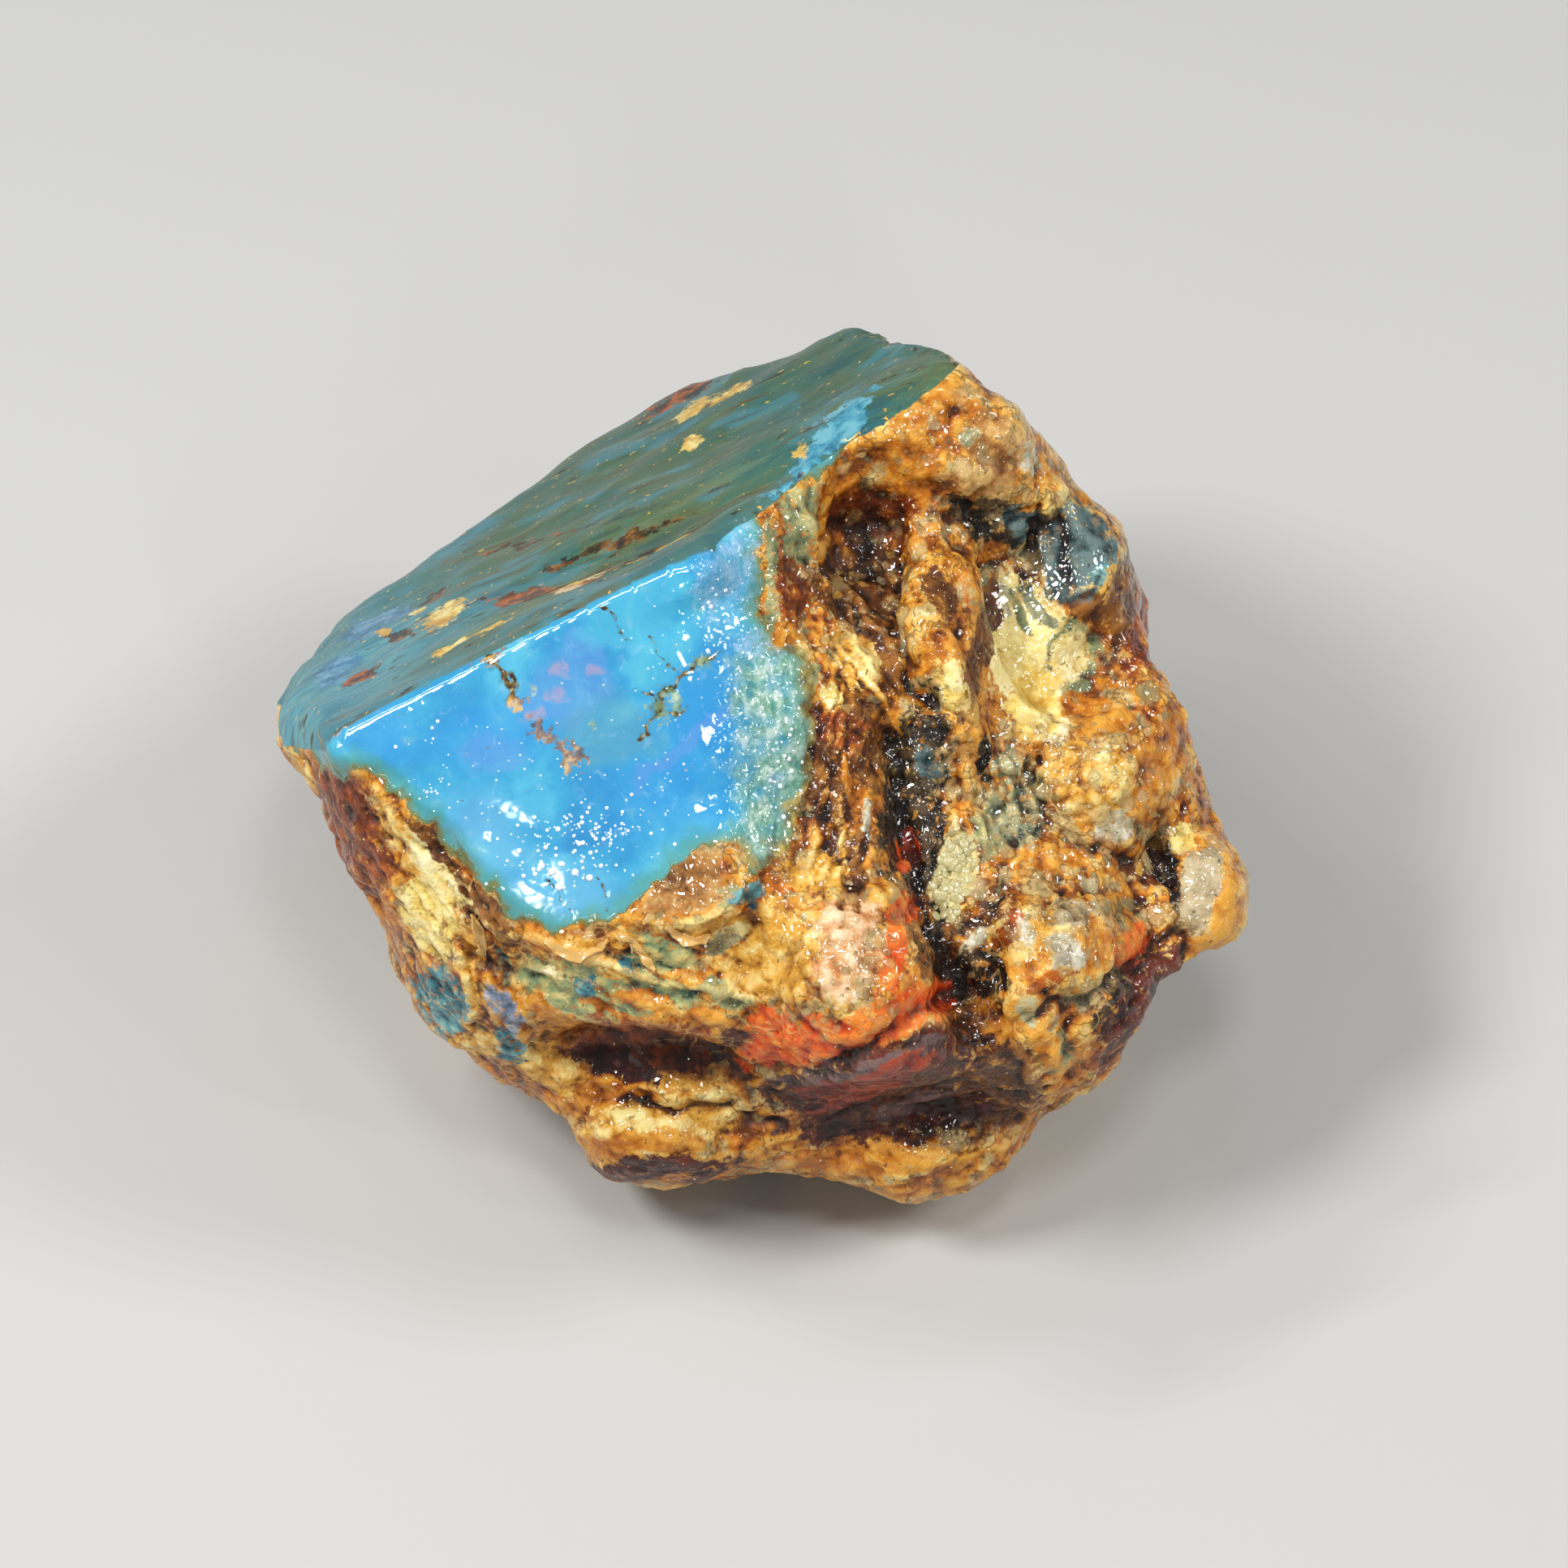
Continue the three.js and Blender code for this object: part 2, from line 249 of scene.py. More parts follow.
def domes(places, size, start):
    """Domes from 0 to 1, one in each Voronoi cell, with cells about size mm wide."""
    rows = (places / size + start).tolist()
    nearest = np.array([noise.voronoi(row)[0][0] for row in rows])
    return 1 - np.clip(nearest / DOME_RADIUS, 0, 1) ** 2


def smooth(low, high, value):
    """0 below low, 1 above high, and an eased ramp between."""
    share = np.clip((value - low) / (high - low), 0, 1)
    return share * share * (3 - 2 * share)


def turned_by(places, degrees):
    """Show places turned in the show plane, so the first number runs along the flow."""
    angle = np.radians(degrees)
    along = places[:, 0] * np.cos(angle) + places[:, 1] * np.sin(angle)
    beside = -places[:, 0] * np.sin(angle) + places[:, 1] * np.cos(angle)
    return np.stack([along, beside, places[:, 2]], axis=1)


def soft_patch(places, ellipse):
    """How far inside an ellipse (x, y, half length, half width, turn in degrees) each place is: 1 from
    its middle to half way out, 0.5 on its border and 0 from half a size beyond."""
    x, y, half_length, half_width, turn = ellipse
    place = turned_by(places - (x, y, 0), turn)
    return np.clip(1.5 - np.hypot(place[:, 0] / half_length, place[:, 1] / half_width), 0, 1)


def any_patch(places, ellipses):
    """The strongest of several soft ellipses at each place."""
    return np.maximum.reduce([soft_patch(places, ellipse) for ellipse in ellipses])


def wander(places, reach, size, octaves, *starts):
    """The corners' places pulled about in the show plane by up to about reach mm, so that borders look
    grown. Each start gives the noise for one axis, which is read at the corners themselves."""
    moved = places.copy()
    for axis, start in enumerate(starts):
        moved[:, axis] += reach * soft(spots, size, octaves, start)
    return moved


def from_path(places, path):
    """The distance in the show plane from each place to a path of points."""
    best = np.full(len(places), 1e9)
    for start, end in zip(path[:-1], path[1:]):
        start = np.array(start)
        step = np.array(end) - start
        share = np.clip(((places[:, :2] - start) @ step) / (step @ step), 0, 1)
        gap = np.linalg.norm(places[:, :2] - start - share[:, None] * step, axis=1)
        best = np.minimum(best, gap)
    return best


def inside_outline(places, outline):
    """How far inside a closed outline each place is in the show plane, negative outside."""
    closed = list(outline) + [outline[0]]
    gap = from_path(places, closed)
    crossings = np.zeros(len(places), dtype=int)
    for (x0, y0), (x1, y1) in zip(closed[:-1], closed[1:]):
        spans = (places[:, 1] > y0) != (places[:, 1] > y1)
        level = x0 + (places[:, 1] - y0) * (x1 - x0) / (y1 - y0 + 1e-9)
        crossings += spans & (places[:, 0] < level)
    return np.where(crossings % 2 == 1, gap, -gap)


print("corners to carve:", len(spots))

# %% [markdown]
# ## Where the opal shows
# The blue opal has a ragged border on the show side. It fills the window, runs over the facet to its
# right and up to the peak. Everything else on the show side is crust.
# %% The opal's outline
OPAL_OUTLINE = [
    (-22.6, 4.6), (-19.4, 5.0), (-12.6, 8.0), (-8.0, 10.0), (-4.4, 11.8), (-2.2, 13.6), (0.0, 15.2),
    (2.3, 16.4), (4.2, 17.2), (4.6, 15.0), (2.8, 13.1), (1.0, 12.2), (0.0, 11.1), (0.3, 8.8),
    (0.2, 7.0), (0.7, 5.5), (2.4, 5.1), (2.8, 2.2), (2.6, -0.4), (1.6, -3.3), (0.4, -5.1),
    (-0.4, -5.2), (-1.1, -4.0), (-2.5, -3.8), (-3.5, -4.6), (-4.4, -5.6), (-5.3, -6.3), (-5.9, -7.0),
    (-7.1, -7.3), (-8.6, -7.6), (-10.3, -7.4), (-11.4, -6.8), (-12.7, -5.5), (-13.8, -4.1),
    (-15.3, -2.6), (-16.8, -1.1), (-18.0, -0.3), (-19.0, -0.9), (-20.4, 0.1), (-22.6, 1.4),
]
ragged = wander(spots, 0.35, 1.3, 3, 5.0, 9.0)
ragged = wander(ragged, 0.12, 0.45, 2, 2.0, 7.0)
front = smooth(-2.0, 2.0, spots[:, 2])
opal_in = np.where(spots[:, 2] > 2.0, inside_outline(ragged, OPAL_OUTLINE), -5.0)
top_level = above_top(spots)
window_level = above_window(spots)
on_top = smooth(-0.30, -0.12, top_level)
far_left = smooth(4.0, 2.0, (spots - edge_level) @ ALONG)
sunk_top = smooth(0.70, 0.85, facing @ TOP_FACING) * smooth(-2.0, -1.2, top_level) * far_left
on_top = np.maximum(on_top, sunk_top * smooth(0.1, 0.5, (spots - edge_level) @ DEPTH))
on_window = smooth(-0.30, -0.12, window_level) * smooth(-0.25, 0.15, opal_in)
on_opal = smooth(-0.15, 0.25, opal_in) * (1 - on_top)
rough = (1 - on_top) * (1 - on_window)
footing = smooth(0.2, 2.0, from_show(spots)[:, 2] / MM)
print("share of corners on the window, the top cut and other opal:",
      on_window.mean().round(3), on_top.mean().round(3), (on_opal - on_window).mean().round(3))


# %% Push corners along the surface
def settle():
    """Write the corners to the mesh, then read their new facings."""
    global facing
    stone.data.vertices.foreach_set("co", from_show(spots).ravel())
    stone.data.update()
    facing = read(stone.data.vertices, "normal") @ SHOW_AXES.T


def press(height):
    """Move every corner along its own facing by height mm."""
    global spots
    spots = spots + facing * height[:, None]
    settle()


# %% [markdown]
# ## Folds and hollows of the crust
# The middle sizes first. A swelling or a hollow has an ellipse (x, y, half length, half width, turn in
# degrees) in show axes, and a height. A rope-like rim or a groove has a path, a width and a height.
# %% Swellings, rims and grooves
SWELLINGS = [
    ("window crust", (-3.0, -5.7, 2.3, 1.5, 15), 0.6),
    ("recess", (-5.4, -13.2, 4.4, 1.2, -6), -1.4),
    ("toe shelf", (-3.1, -15.0, 2.8, 0.8, -12), 0.6),
    ("boss", (15.0, 9.8, 1.6, 2.6, -15), 0.7),
    ("knob", (20.6, -6.2, 1.3, 2.2, -15), 0.5),
    ("pocket floor", (13.3, 4.6, 1.7, 3.6, -12), 0.7),
    ("partition", (8.2, 4.9, 1.0, 3.2, 18), 0.5),
    ("cave", (4.8, 9.4, 1.7, 2.6, -5), -0.8),
    ("cave lobe", (4.4, 7.2, 1.3, 1.5, 0), 0.7),
    ("wet strand", (4.9, -2.6, 0.6, 1.8, 0), 0.45),
    ("crown lobe", (10.4, 12.9, 2.4, 0.9, -10), 0.5),
    ("cheek lobe", (14.8, 0.6, 2.0, 1.4, -15), 0.45),
    ("cheek silica", (11.4, -0.4, 0.8, 1.2, 0), 0.45),
    ("lower rib", (12.6, -12.4, 0.9, 2.6, 20), 0.5),
    ("small lobe", (11.8, -6.6, 1.4, 0.9, 20), 0.5),
    ("beads hollow", (8.9, -5.2, 1.0, 2.0, -12), -0.4),
]
ROPES = [
    ("pocket rim", [(9.5, 9.4), (9.9, 6.7), (10.7, 4.3), (11.9, 2.0), (13.6, 0.7)], 0.4, 0.6),
    ("pocket wall", [(10.6, 9.0), (11.0, 6.6), (11.8, 4.4), (12.9, 2.6)], 0.5, -0.8),
    ("window rim", [(-18, 0.0), (-16.6, -1.9), (-14.8, -4.0), (-12.9, -6.4), (-11, -8.1)], 0.5, 0.3),
    ("recess lip", [(-9.1, -12.7), (-7.6, -11.9), (-5, -11.6), (-2.4, -12.3), (-0.2, -13.4)], 0.6, 0.7),
    ("lump crease", [(-0.2, -14.1), (2.4, -14.2), (5.3, -12.9), (8.5, -10.6)], 0.5, -0.5),
    ("furrow", [(6, 1.9), (6.6, -0.4), (6.9, -2.6), (7.6, -5.2), (8.3, -7.8), (9.3, -10.6)], 0.6, -0.9),
    ("cave edge", [(2.3, 11.1), (2.4, 8.9), (3.1, 6.3), (5.0, 4.2), (6.1, 2.2)], 0.4, 0.5),
    ("cave crease", [(2.9, 10.9), (3.0, 8.9), (3.9, 6.4), (5.6, 4.5)], 0.4, -0.8),
    ("knob gap", [(18.5, -3.8), (19.2, -5.6), (19.6, -7.5), (20.1, -8.6)], 0.45, -0.9),
    ("cheek crease", [(13.7, 1.5), (12.5, -0.2), (13.2, -2.6), (14.7, -3.7), (17, -4.3)], 0.4, -0.45),
    ("chin crease", [(9.8, -7.4), (11.3, -5.9), (13.6, -5.6), (16.2, -6)], 0.4, -0.45),
    ("partition edge", [(6.5, 9), (6.1, 6.3), (7.2, 3.3), (9.1, 2.2)], 0.35, -0.5),
    ("strip edge", [(12.8, -11.3), (15, -10.9), (17.3, -9.3), (19.3, -7.9)], 0.5, -0.6),
    ("toe fold", [(-7.3, -15.4), (-4.3, -15.9), (-1.3, -15.6), (0.9, -16.9)], 0.35, -0.5),
    ("opal step", [(-1.1, 11.1), (0.5, 8.8), (0.6, 6.3), (2.6, 4.6), (2.9, 1.5), (2.2, -2.5)], 0.3, -0.3),
    ("first flow", [(-10.5, -8.9), (-7.9, -10.3), (-4.2, -11.2), (-1.3, -11.6)], 0.3, 0.3),
    ("second flow", [(-8.6, -8.5), (-5.3, -9.7), (-2, -10.4), (0.2, -10.8)], 0.3, 0.25),
    ("jowl rib", [(-13.6, -8.6), (-13.2, -10.4), (-13.3, -12.2)], 0.25, 0.35),
    ("flank rib", [(-16.6, -2.4), (-14.6, -5.2), (-12.6, -8.4)], 0.35, 0.3),
    ("first boss fold", [(13.3, 12.0), (12.9, 10.6), (13.7, 9.4), (13.2, 7.8)], 0.36, 0.35),
    ("second boss fold", [(14.4, 12.4), (14.7, 11.0), (15.4, 9.8), (15.0, 8.4)], 0.40, 0.35),
    ("third boss fold", [(13.2, 7.6), (14.3, 7.0), (15.4, 7.4)], 0.3, 0.4),
    ("boss groove", [(14.0, 11.6), (14.2, 10.0), (14.6, 8.6)], 0.25, -0.4),
]
BOSS = (14.6, 9.2, 1.9, 3.2, -15)
sway = wander(spots, 0.30, 2.2, 2, 51.0, 57.0)
rise = np.zeros(len(spots))
for _, ellipse, height in SWELLINGS:
    rise += height * smooth(0, 1, soft_patch(sway, ellipse))
boss = smooth(0, 1, soft_patch(spots, BOSS))
rise += 0.14 * boss * soft(spots, 1.0, 1, 91.0) - 0.34 * boss * (spots[:, 1] - BOSS[1])
for _, path, width, height in ROPES:
    rise += height * np.exp(-(from_path(sway, path) / width) ** 2)
press(rise * front * footing * rough)
print("largest fold in mm:", np.abs(rise).max().round(2))


# %% [markdown]
# ## Lumps, domes and flutes
# The crust grew in lumps of many sizes. Hard turbulence is made for this: it folds noise over at zero,
# so it has round tops and narrow creases. In some parts silica grew as bunches of small domes instead,
# which are Voronoi cells whose height falls with the square of the distance from the middle. A few
# places stay calm: they were worn or grew smooth.
# %% Lumps of many sizes
def lumpy(places, size, octaves, start):
    """Round lumps with narrow creases, about 0 to 1."""
    rows = (places / size + start).tolist()
    return np.array([noise.turbulence(row, octaves, True, amplitude_scale=0.5, frequency_scale=2.1)
                     for row in rows])


big_lumps = lumpy(spots, 2.6, 2, 12.0)
small_lumps = lumpy(spots, 1.1, 1, 17.0)
calm_places = smooth(-0.25, 0.35, soft(spots, 3.5, 2, 61.0))
EASED = {
    "pocket": (12.4, 4.6, 2.0, 3.9, -12),
    "pocket wall": (10.5, 5.4, 0.9, 4.0, -15),
    "recess": (-5.4, -13.3, 4.4, 1.5, -6),
    "knob": (20.6, -6.2, 1.2, 2.2, -15),
}
CALM = EASED | {"boss": BOSS, "maroon band": (5.2, -15.4, 5.0, 1.8, 12)}
calm = smooth(0, 1, any_patch(spots, CALM.values())) * front
rise = 0.42 * (big_lumps - big_lumps.mean()) + 0.16 * calm_places * (small_lumps - small_lumps.mean())
opal_calm = 1 - 0.85 * on_opal
press(rise * footing * rough * opal_calm * (1 - 0.8 * calm))
print("lumps spread in mm:", rise.std().round(3))


# %% Ease the smooth places
def neighbour_mean(values, rounds):
    """The mean of the values of the corners round each corner, taken over and over."""
    ends = np.empty(2 * len(stone.data.edges), dtype=np.int64)
    stone.data.edges.foreach_get("vertices", ends)
    ends = ends.reshape(-1, 2)
    count = np.bincount(ends.ravel(), minlength=len(spots))[:, None]
    for _ in range(rounds):
        total = np.zeros_like(values)
        np.add.at(total, ends[:, 0], values[ends[:, 1]])
        np.add.at(total, ends[:, 1], values[ends[:, 0]])
        values = total / count
    return values


OPAL_BEND = (-0.6, 3.0, 2.6, 7.0, 5)
eased = smooth(0, 1, any_patch(spots, EASED.values())) * front
bend = smooth(0.1, 0.9, soft_patch(spots, OPAL_BEND)) * front * (1 - on_top)
eased = np.maximum(eased * footing * rough, bend)
spots = spots + (neighbour_mean(spots, 16) - spots) * eased[:, None]
settle()
print("eased share:", eased.mean().round(3))

# %% Pebbly domes
DOMES = [
    ("crown", (10.0, 13.8, 4.6, 3.0, -20), 0.9, 0.16),
    ("cheek and chin", (15.0, -3.5, 5.2, 8.0, -5), 0.9, 0.17),
    ("lump", (4.0, -9.0, 3.0, 4.0, 0), 0.8, 0.15),
    ("brow crust", (12.4, 11.0, 3.8, 2.4, -10), 1.3, 0.42),
    ("cave floor", (4.7, 8.0, 2.4, 3.4, -5), 0.8, 0.22),
    ("opal facet", (0.9, 0.6, 1.5, 5.4, 8), 0.5, 0.08),
    ("furrow", (8.0, 0.8, 2.0, 2.8, -10), 0.9, 0.26),
    ("window crust", (-2.6, -6.6, 3.0, 2.4, 10), 0.7, 0.14),
]
coarse_dome = domes(sway, 1.6, 11.0)
fine_dome = domes(sway, 0.8, 3.0)
rise = np.zeros(len(spots))
pebbly = np.zeros(len(spots))
for _, ellipse, size, height in DOMES:
    share = smooth(0.1, 0.9, soft_patch(spots, ellipse)) * front
    mostly_coarse = np.clip((size - 0.7) / 0.6, 0, 1)
    dome = mostly_coarse * coarse_dome + (1 - mostly_coarse) * fine_dome + 0.3 * fine_dome
    rise += share * height * (dome - 0.5) * (0.35 + 0.65 * calm_places)
    pebbly = np.maximum(pebbly, share)
press(rise * footing * rough * (1 - 0.7 * calm))
print("share that is pebbly:", pebbly.mean().round(3))

# %% [markdown]
# Other parts ran down in strands like candle wax. The noise is stretched along the flow and folded, so
# each strand is round on top with a narrow groove on each side. Each row has an ellipse, the direction
# of the flow in degrees, and a height.
# %% Flutes
FLUTES = [
    ("flank", (-15.2, -6.0, 6.5, 4.5, 50), -55, 0.24),
    ("below window", (-5.0, -9.8, 7.0, 2.6, -15), -20, 0.22),
    ("strands", (3.6, -1.2, 1.5, 4.8, 0), 74, 0.42),
    ("olive ribs", (7.2, -6.6, 1.1, 2.8, 0), -76, 0.42),
    ("cave wall", (4.8, 5.6, 1.8, 3.0, 20), -58, 0.32),
    ("partition", (8.4, 4.6, 1.4, 3.6, 15), -66, 0.20),
    ("maroon band", (5.0, -14.6, 5.6, 2.2, 12), 16, 0.26),
    ("right of furrow", (11.2, -1.8, 2.0, 3.4, 0), -78, 0.34),
    ("left toe", (-4.6, -16.6, 4.6, 1.8, 0), 6, 0.16),
    ("recess", (-5.5, -13.0, 4.0, 1.4, -6), 8, 0.10),
    ("right strip", (18.0, -10.0, 3.4, 1.6, 42), 42, 0.22),
    ("lower right", (13.2, -13.4, 2.0, 4.0, 25), 62, 0.26),
    ("jowl", (-12.6, -11.6, 2.6, 3.0, 0), -62, 0.18),
    ("bottom", (6.0, -18.0, 6.0, 1.6, 0), 8, 0.16),
    ("right foot", (13.5, -16.5, 4.0, 1.8, 42), 44, 0.18),
    ("peak", (5.0, 18.0, 4.0, 2.2, 0), -40, 0.18),
]
STRAND_WIDTH = 0.75
STRAND_LENGTH = 3.4
rise = np.zeros(len(spots))
strand = np.zeros(len(spots))
for _, ellipse, flow, height in FLUTES:
    share = smooth(0.05, 0.85, soft_patch(spots, ellipse)) * front
    used = share > 0.01
    place = turned_by(spots[used], flow)
    place[:, 1] += 0.5 * soft(place, 2.0, 2, 4.0)
    place = place / np.array([STRAND_LENGTH, STRAND_WIDTH, STRAND_LENGTH])
    folded = 1.6 * np.abs(soft(place, 1.0, 2, 1.0)) ** 0.8 - 0.5
    rise[used] += share[used] * height * folded
    strand[used] += share[used] * folded
press(rise * footing * rough)
print("strand height from", strand.min().round(2), "to", strand.max().round(2))

# %% Crumple, grains and pits
crumple = 0.05 * soft(spots, 1.0, 1, 8.0)
grains = (0.07 + 0.10 * smooth(-0.2, 0.4, soft(spots, 2.0, 2, 81.0))) * (fine_dome - 0.5)
pits = -0.12 * smooth(0.34, 0.60, soft(spots, 0.8, 2, 15.0)) * calm_places
press((crumple + grains + pits) * footing * rough * opal_calm * (1 - 0.8 * calm))
print("crumple spread in mm:", (crumple + grains + pits).std().round(3))

# %% [markdown]
# ## Cut faces
# Nothing stands above the two sawn planes except the lump of crust on the window, so every other corner
# is pressed back onto them. The straight edge between them is worn to a small round. Then the polish
# gets its real small faults: a slow wave, cracks, and two shallow hollows and saw lines on the top cut.
# %% Flatten the cuts
WINDOW_CRUST = (-3.0, -5.8, 2.5, 1.8, 15)
CRUST_HEIGHT = 0.9
window_crust = smooth(0.0, 0.3, soft_patch(sway, WINDOW_CRUST)) * smooth(0.25, -0.25, opal_in)
extra = np.clip(above_window(spots) - CRUST_HEIGHT * window_crust, 0, None)
spots = spots - extra[:, None] * WINDOW_FACING
extra_top = np.clip(above_top(spots), 0, None)
spots = spots - extra_top[:, None] * TOP_FACING
run = (spots - edge_level) @ ALONG
from_edge = np.linalg.norm((spots - edge_level) - run[:, None] * ALONG, axis=1)
worn = smooth(3.0, 1.6, from_edge) * smooth(2.6, 1.0, run) * smooth(-20.5, -18.5, run)
gap_window, gap_top = above_window(spots), above_top(spots)
nearer_top = gap_top > gap_window
lift_top = np.where(nearer_top, worn * gap_top, 0)
lift_window = np.where(nearer_top, 0, worn * gap_window * (gap_window < 0))
spots = spots - lift_top[:, None] * TOP_FACING - lift_window[:, None] * WINDOW_FACING
EDGE_RADIUS = 0.5
into_window = np.clip(above_window(spots) + EDGE_RADIUS, 0, None)
into_top = np.clip(above_top(spots) + EDGE_RADIUS, 0, None)
reach = np.hypot(into_window, into_top)
beyond = np.clip(reach - EDGE_RADIUS, 0, None) / np.maximum(reach, 1e-6)
spots = spots - (beyond * into_window)[:, None] * WINDOW_FACING
spots = spots - (beyond * into_top)[:, None] * TOP_FACING
settle()
print("pressed back, at most, in mm:", extra.max().round(2), extra_top.max().round(2))

# %% Faults in the polish
CRACKS = [
    ("main crack", [(-1.6, 4.9), (-2.8, 4.5), (-3.4, 4.0), (-4.2, 3.1), (-4.6, 1.9), (-5.4, 0.9)], 0.10),
    ("crack arm", [(-4.3, 2.8), (-5.2, 3.2), (-5.6, 3.3)], 0.04),
    ("crack leg", [(-5.0, 5.8), (-4.5, 4.9), (-3.7, 4.1)], 0.04),
    ("crack foot", [(-4.4, 2.2), (-3.6, 2.2), (-3.1, 2.6)], 0.06),
    ("brown crack", [(-12.7, 5.6), (-12.1, 4.7), (-11.4, 3.6), (-11.0, 2.7)], 0.08),
    ("brown arm", [(-11.8, 4.2), (-11.2, 3.9), (-10.9, 3.3)], 0.05),
    ("hairline", [(-7.3, 7.2), (-6.9, 6.8), (-6.4, 6.2), (-5.9, 5.4)], 0.05),
    ("low hairline", [(-9.6, -5.2), (-8.9, -6.2), (-8.4, -7.0)], 0.035),
    ("low vein", [(-7.2, -5.2), (-6.8, -6.0), (-6.6, -6.9)], 0.025),
]
SHINE_PATCH = (-11.3, -3.6, 1.5, 1.0, -50)
cracking = wander(spots, 0.28, 0.7, 3, 6.0, 66.0)
swollen = 1 + 1.4 * smooth(0.1, 0.6, soft(spots, 0.9, 2, 71.0))
crack_near = np.full(len(spots), 9.0)
wave = 0.005 + 0.018 * soft_patch(spots, SHINE_PATCH)
rise = wave * soft(spots, 2.6, 2, 3.0) * on_window
rise += 0.03 * soft(spots, 0.7, 2, 83.0) * smooth(0.9, 0.3, from_edge) * worn
for _, path, width in CRACKS:
    gap = from_path(cracking, path) / (width * swollen)
    crack_near = np.minimum(crack_near, gap)
    rise += -0.3 * width * np.exp(-(gap**2)) * on_opal
cut_along = (spots - edge_level) @ ALONG
cut_depth = (spots - edge_level) @ DEPTH
saw = np.stack([cut_along / 9, cut_depth / 0.9, np.zeros(len(spots))], axis=1)
rise += 0.05 * soft(saw, 1.0, 3, 2.0) * on_top
inner_top = on_top * smooth(0.0, 2.0, cut_depth)
rise += 0.22 * soft(spots, 4.0, 2, 72.0) * inner_top
HOLLOW_WIDTH = 3.0
for depth, middle, start, end in ((0.9, 6.8, -14, 2), (0.5, 15.5, -8, 6)):
    hollow = np.exp(-(((cut_depth - middle) / HOLLOW_WIDTH) ** 2)) * smooth(start, end, cut_along)
    rise -= depth * inner_top * hollow
press(rise)
standing = from_show(spots)
standing[:, 2] = np.maximum(standing[:, 2], 0)
spots = to_show(standing)
settle()
print("deepest fault in mm:", rise.min().round(2))

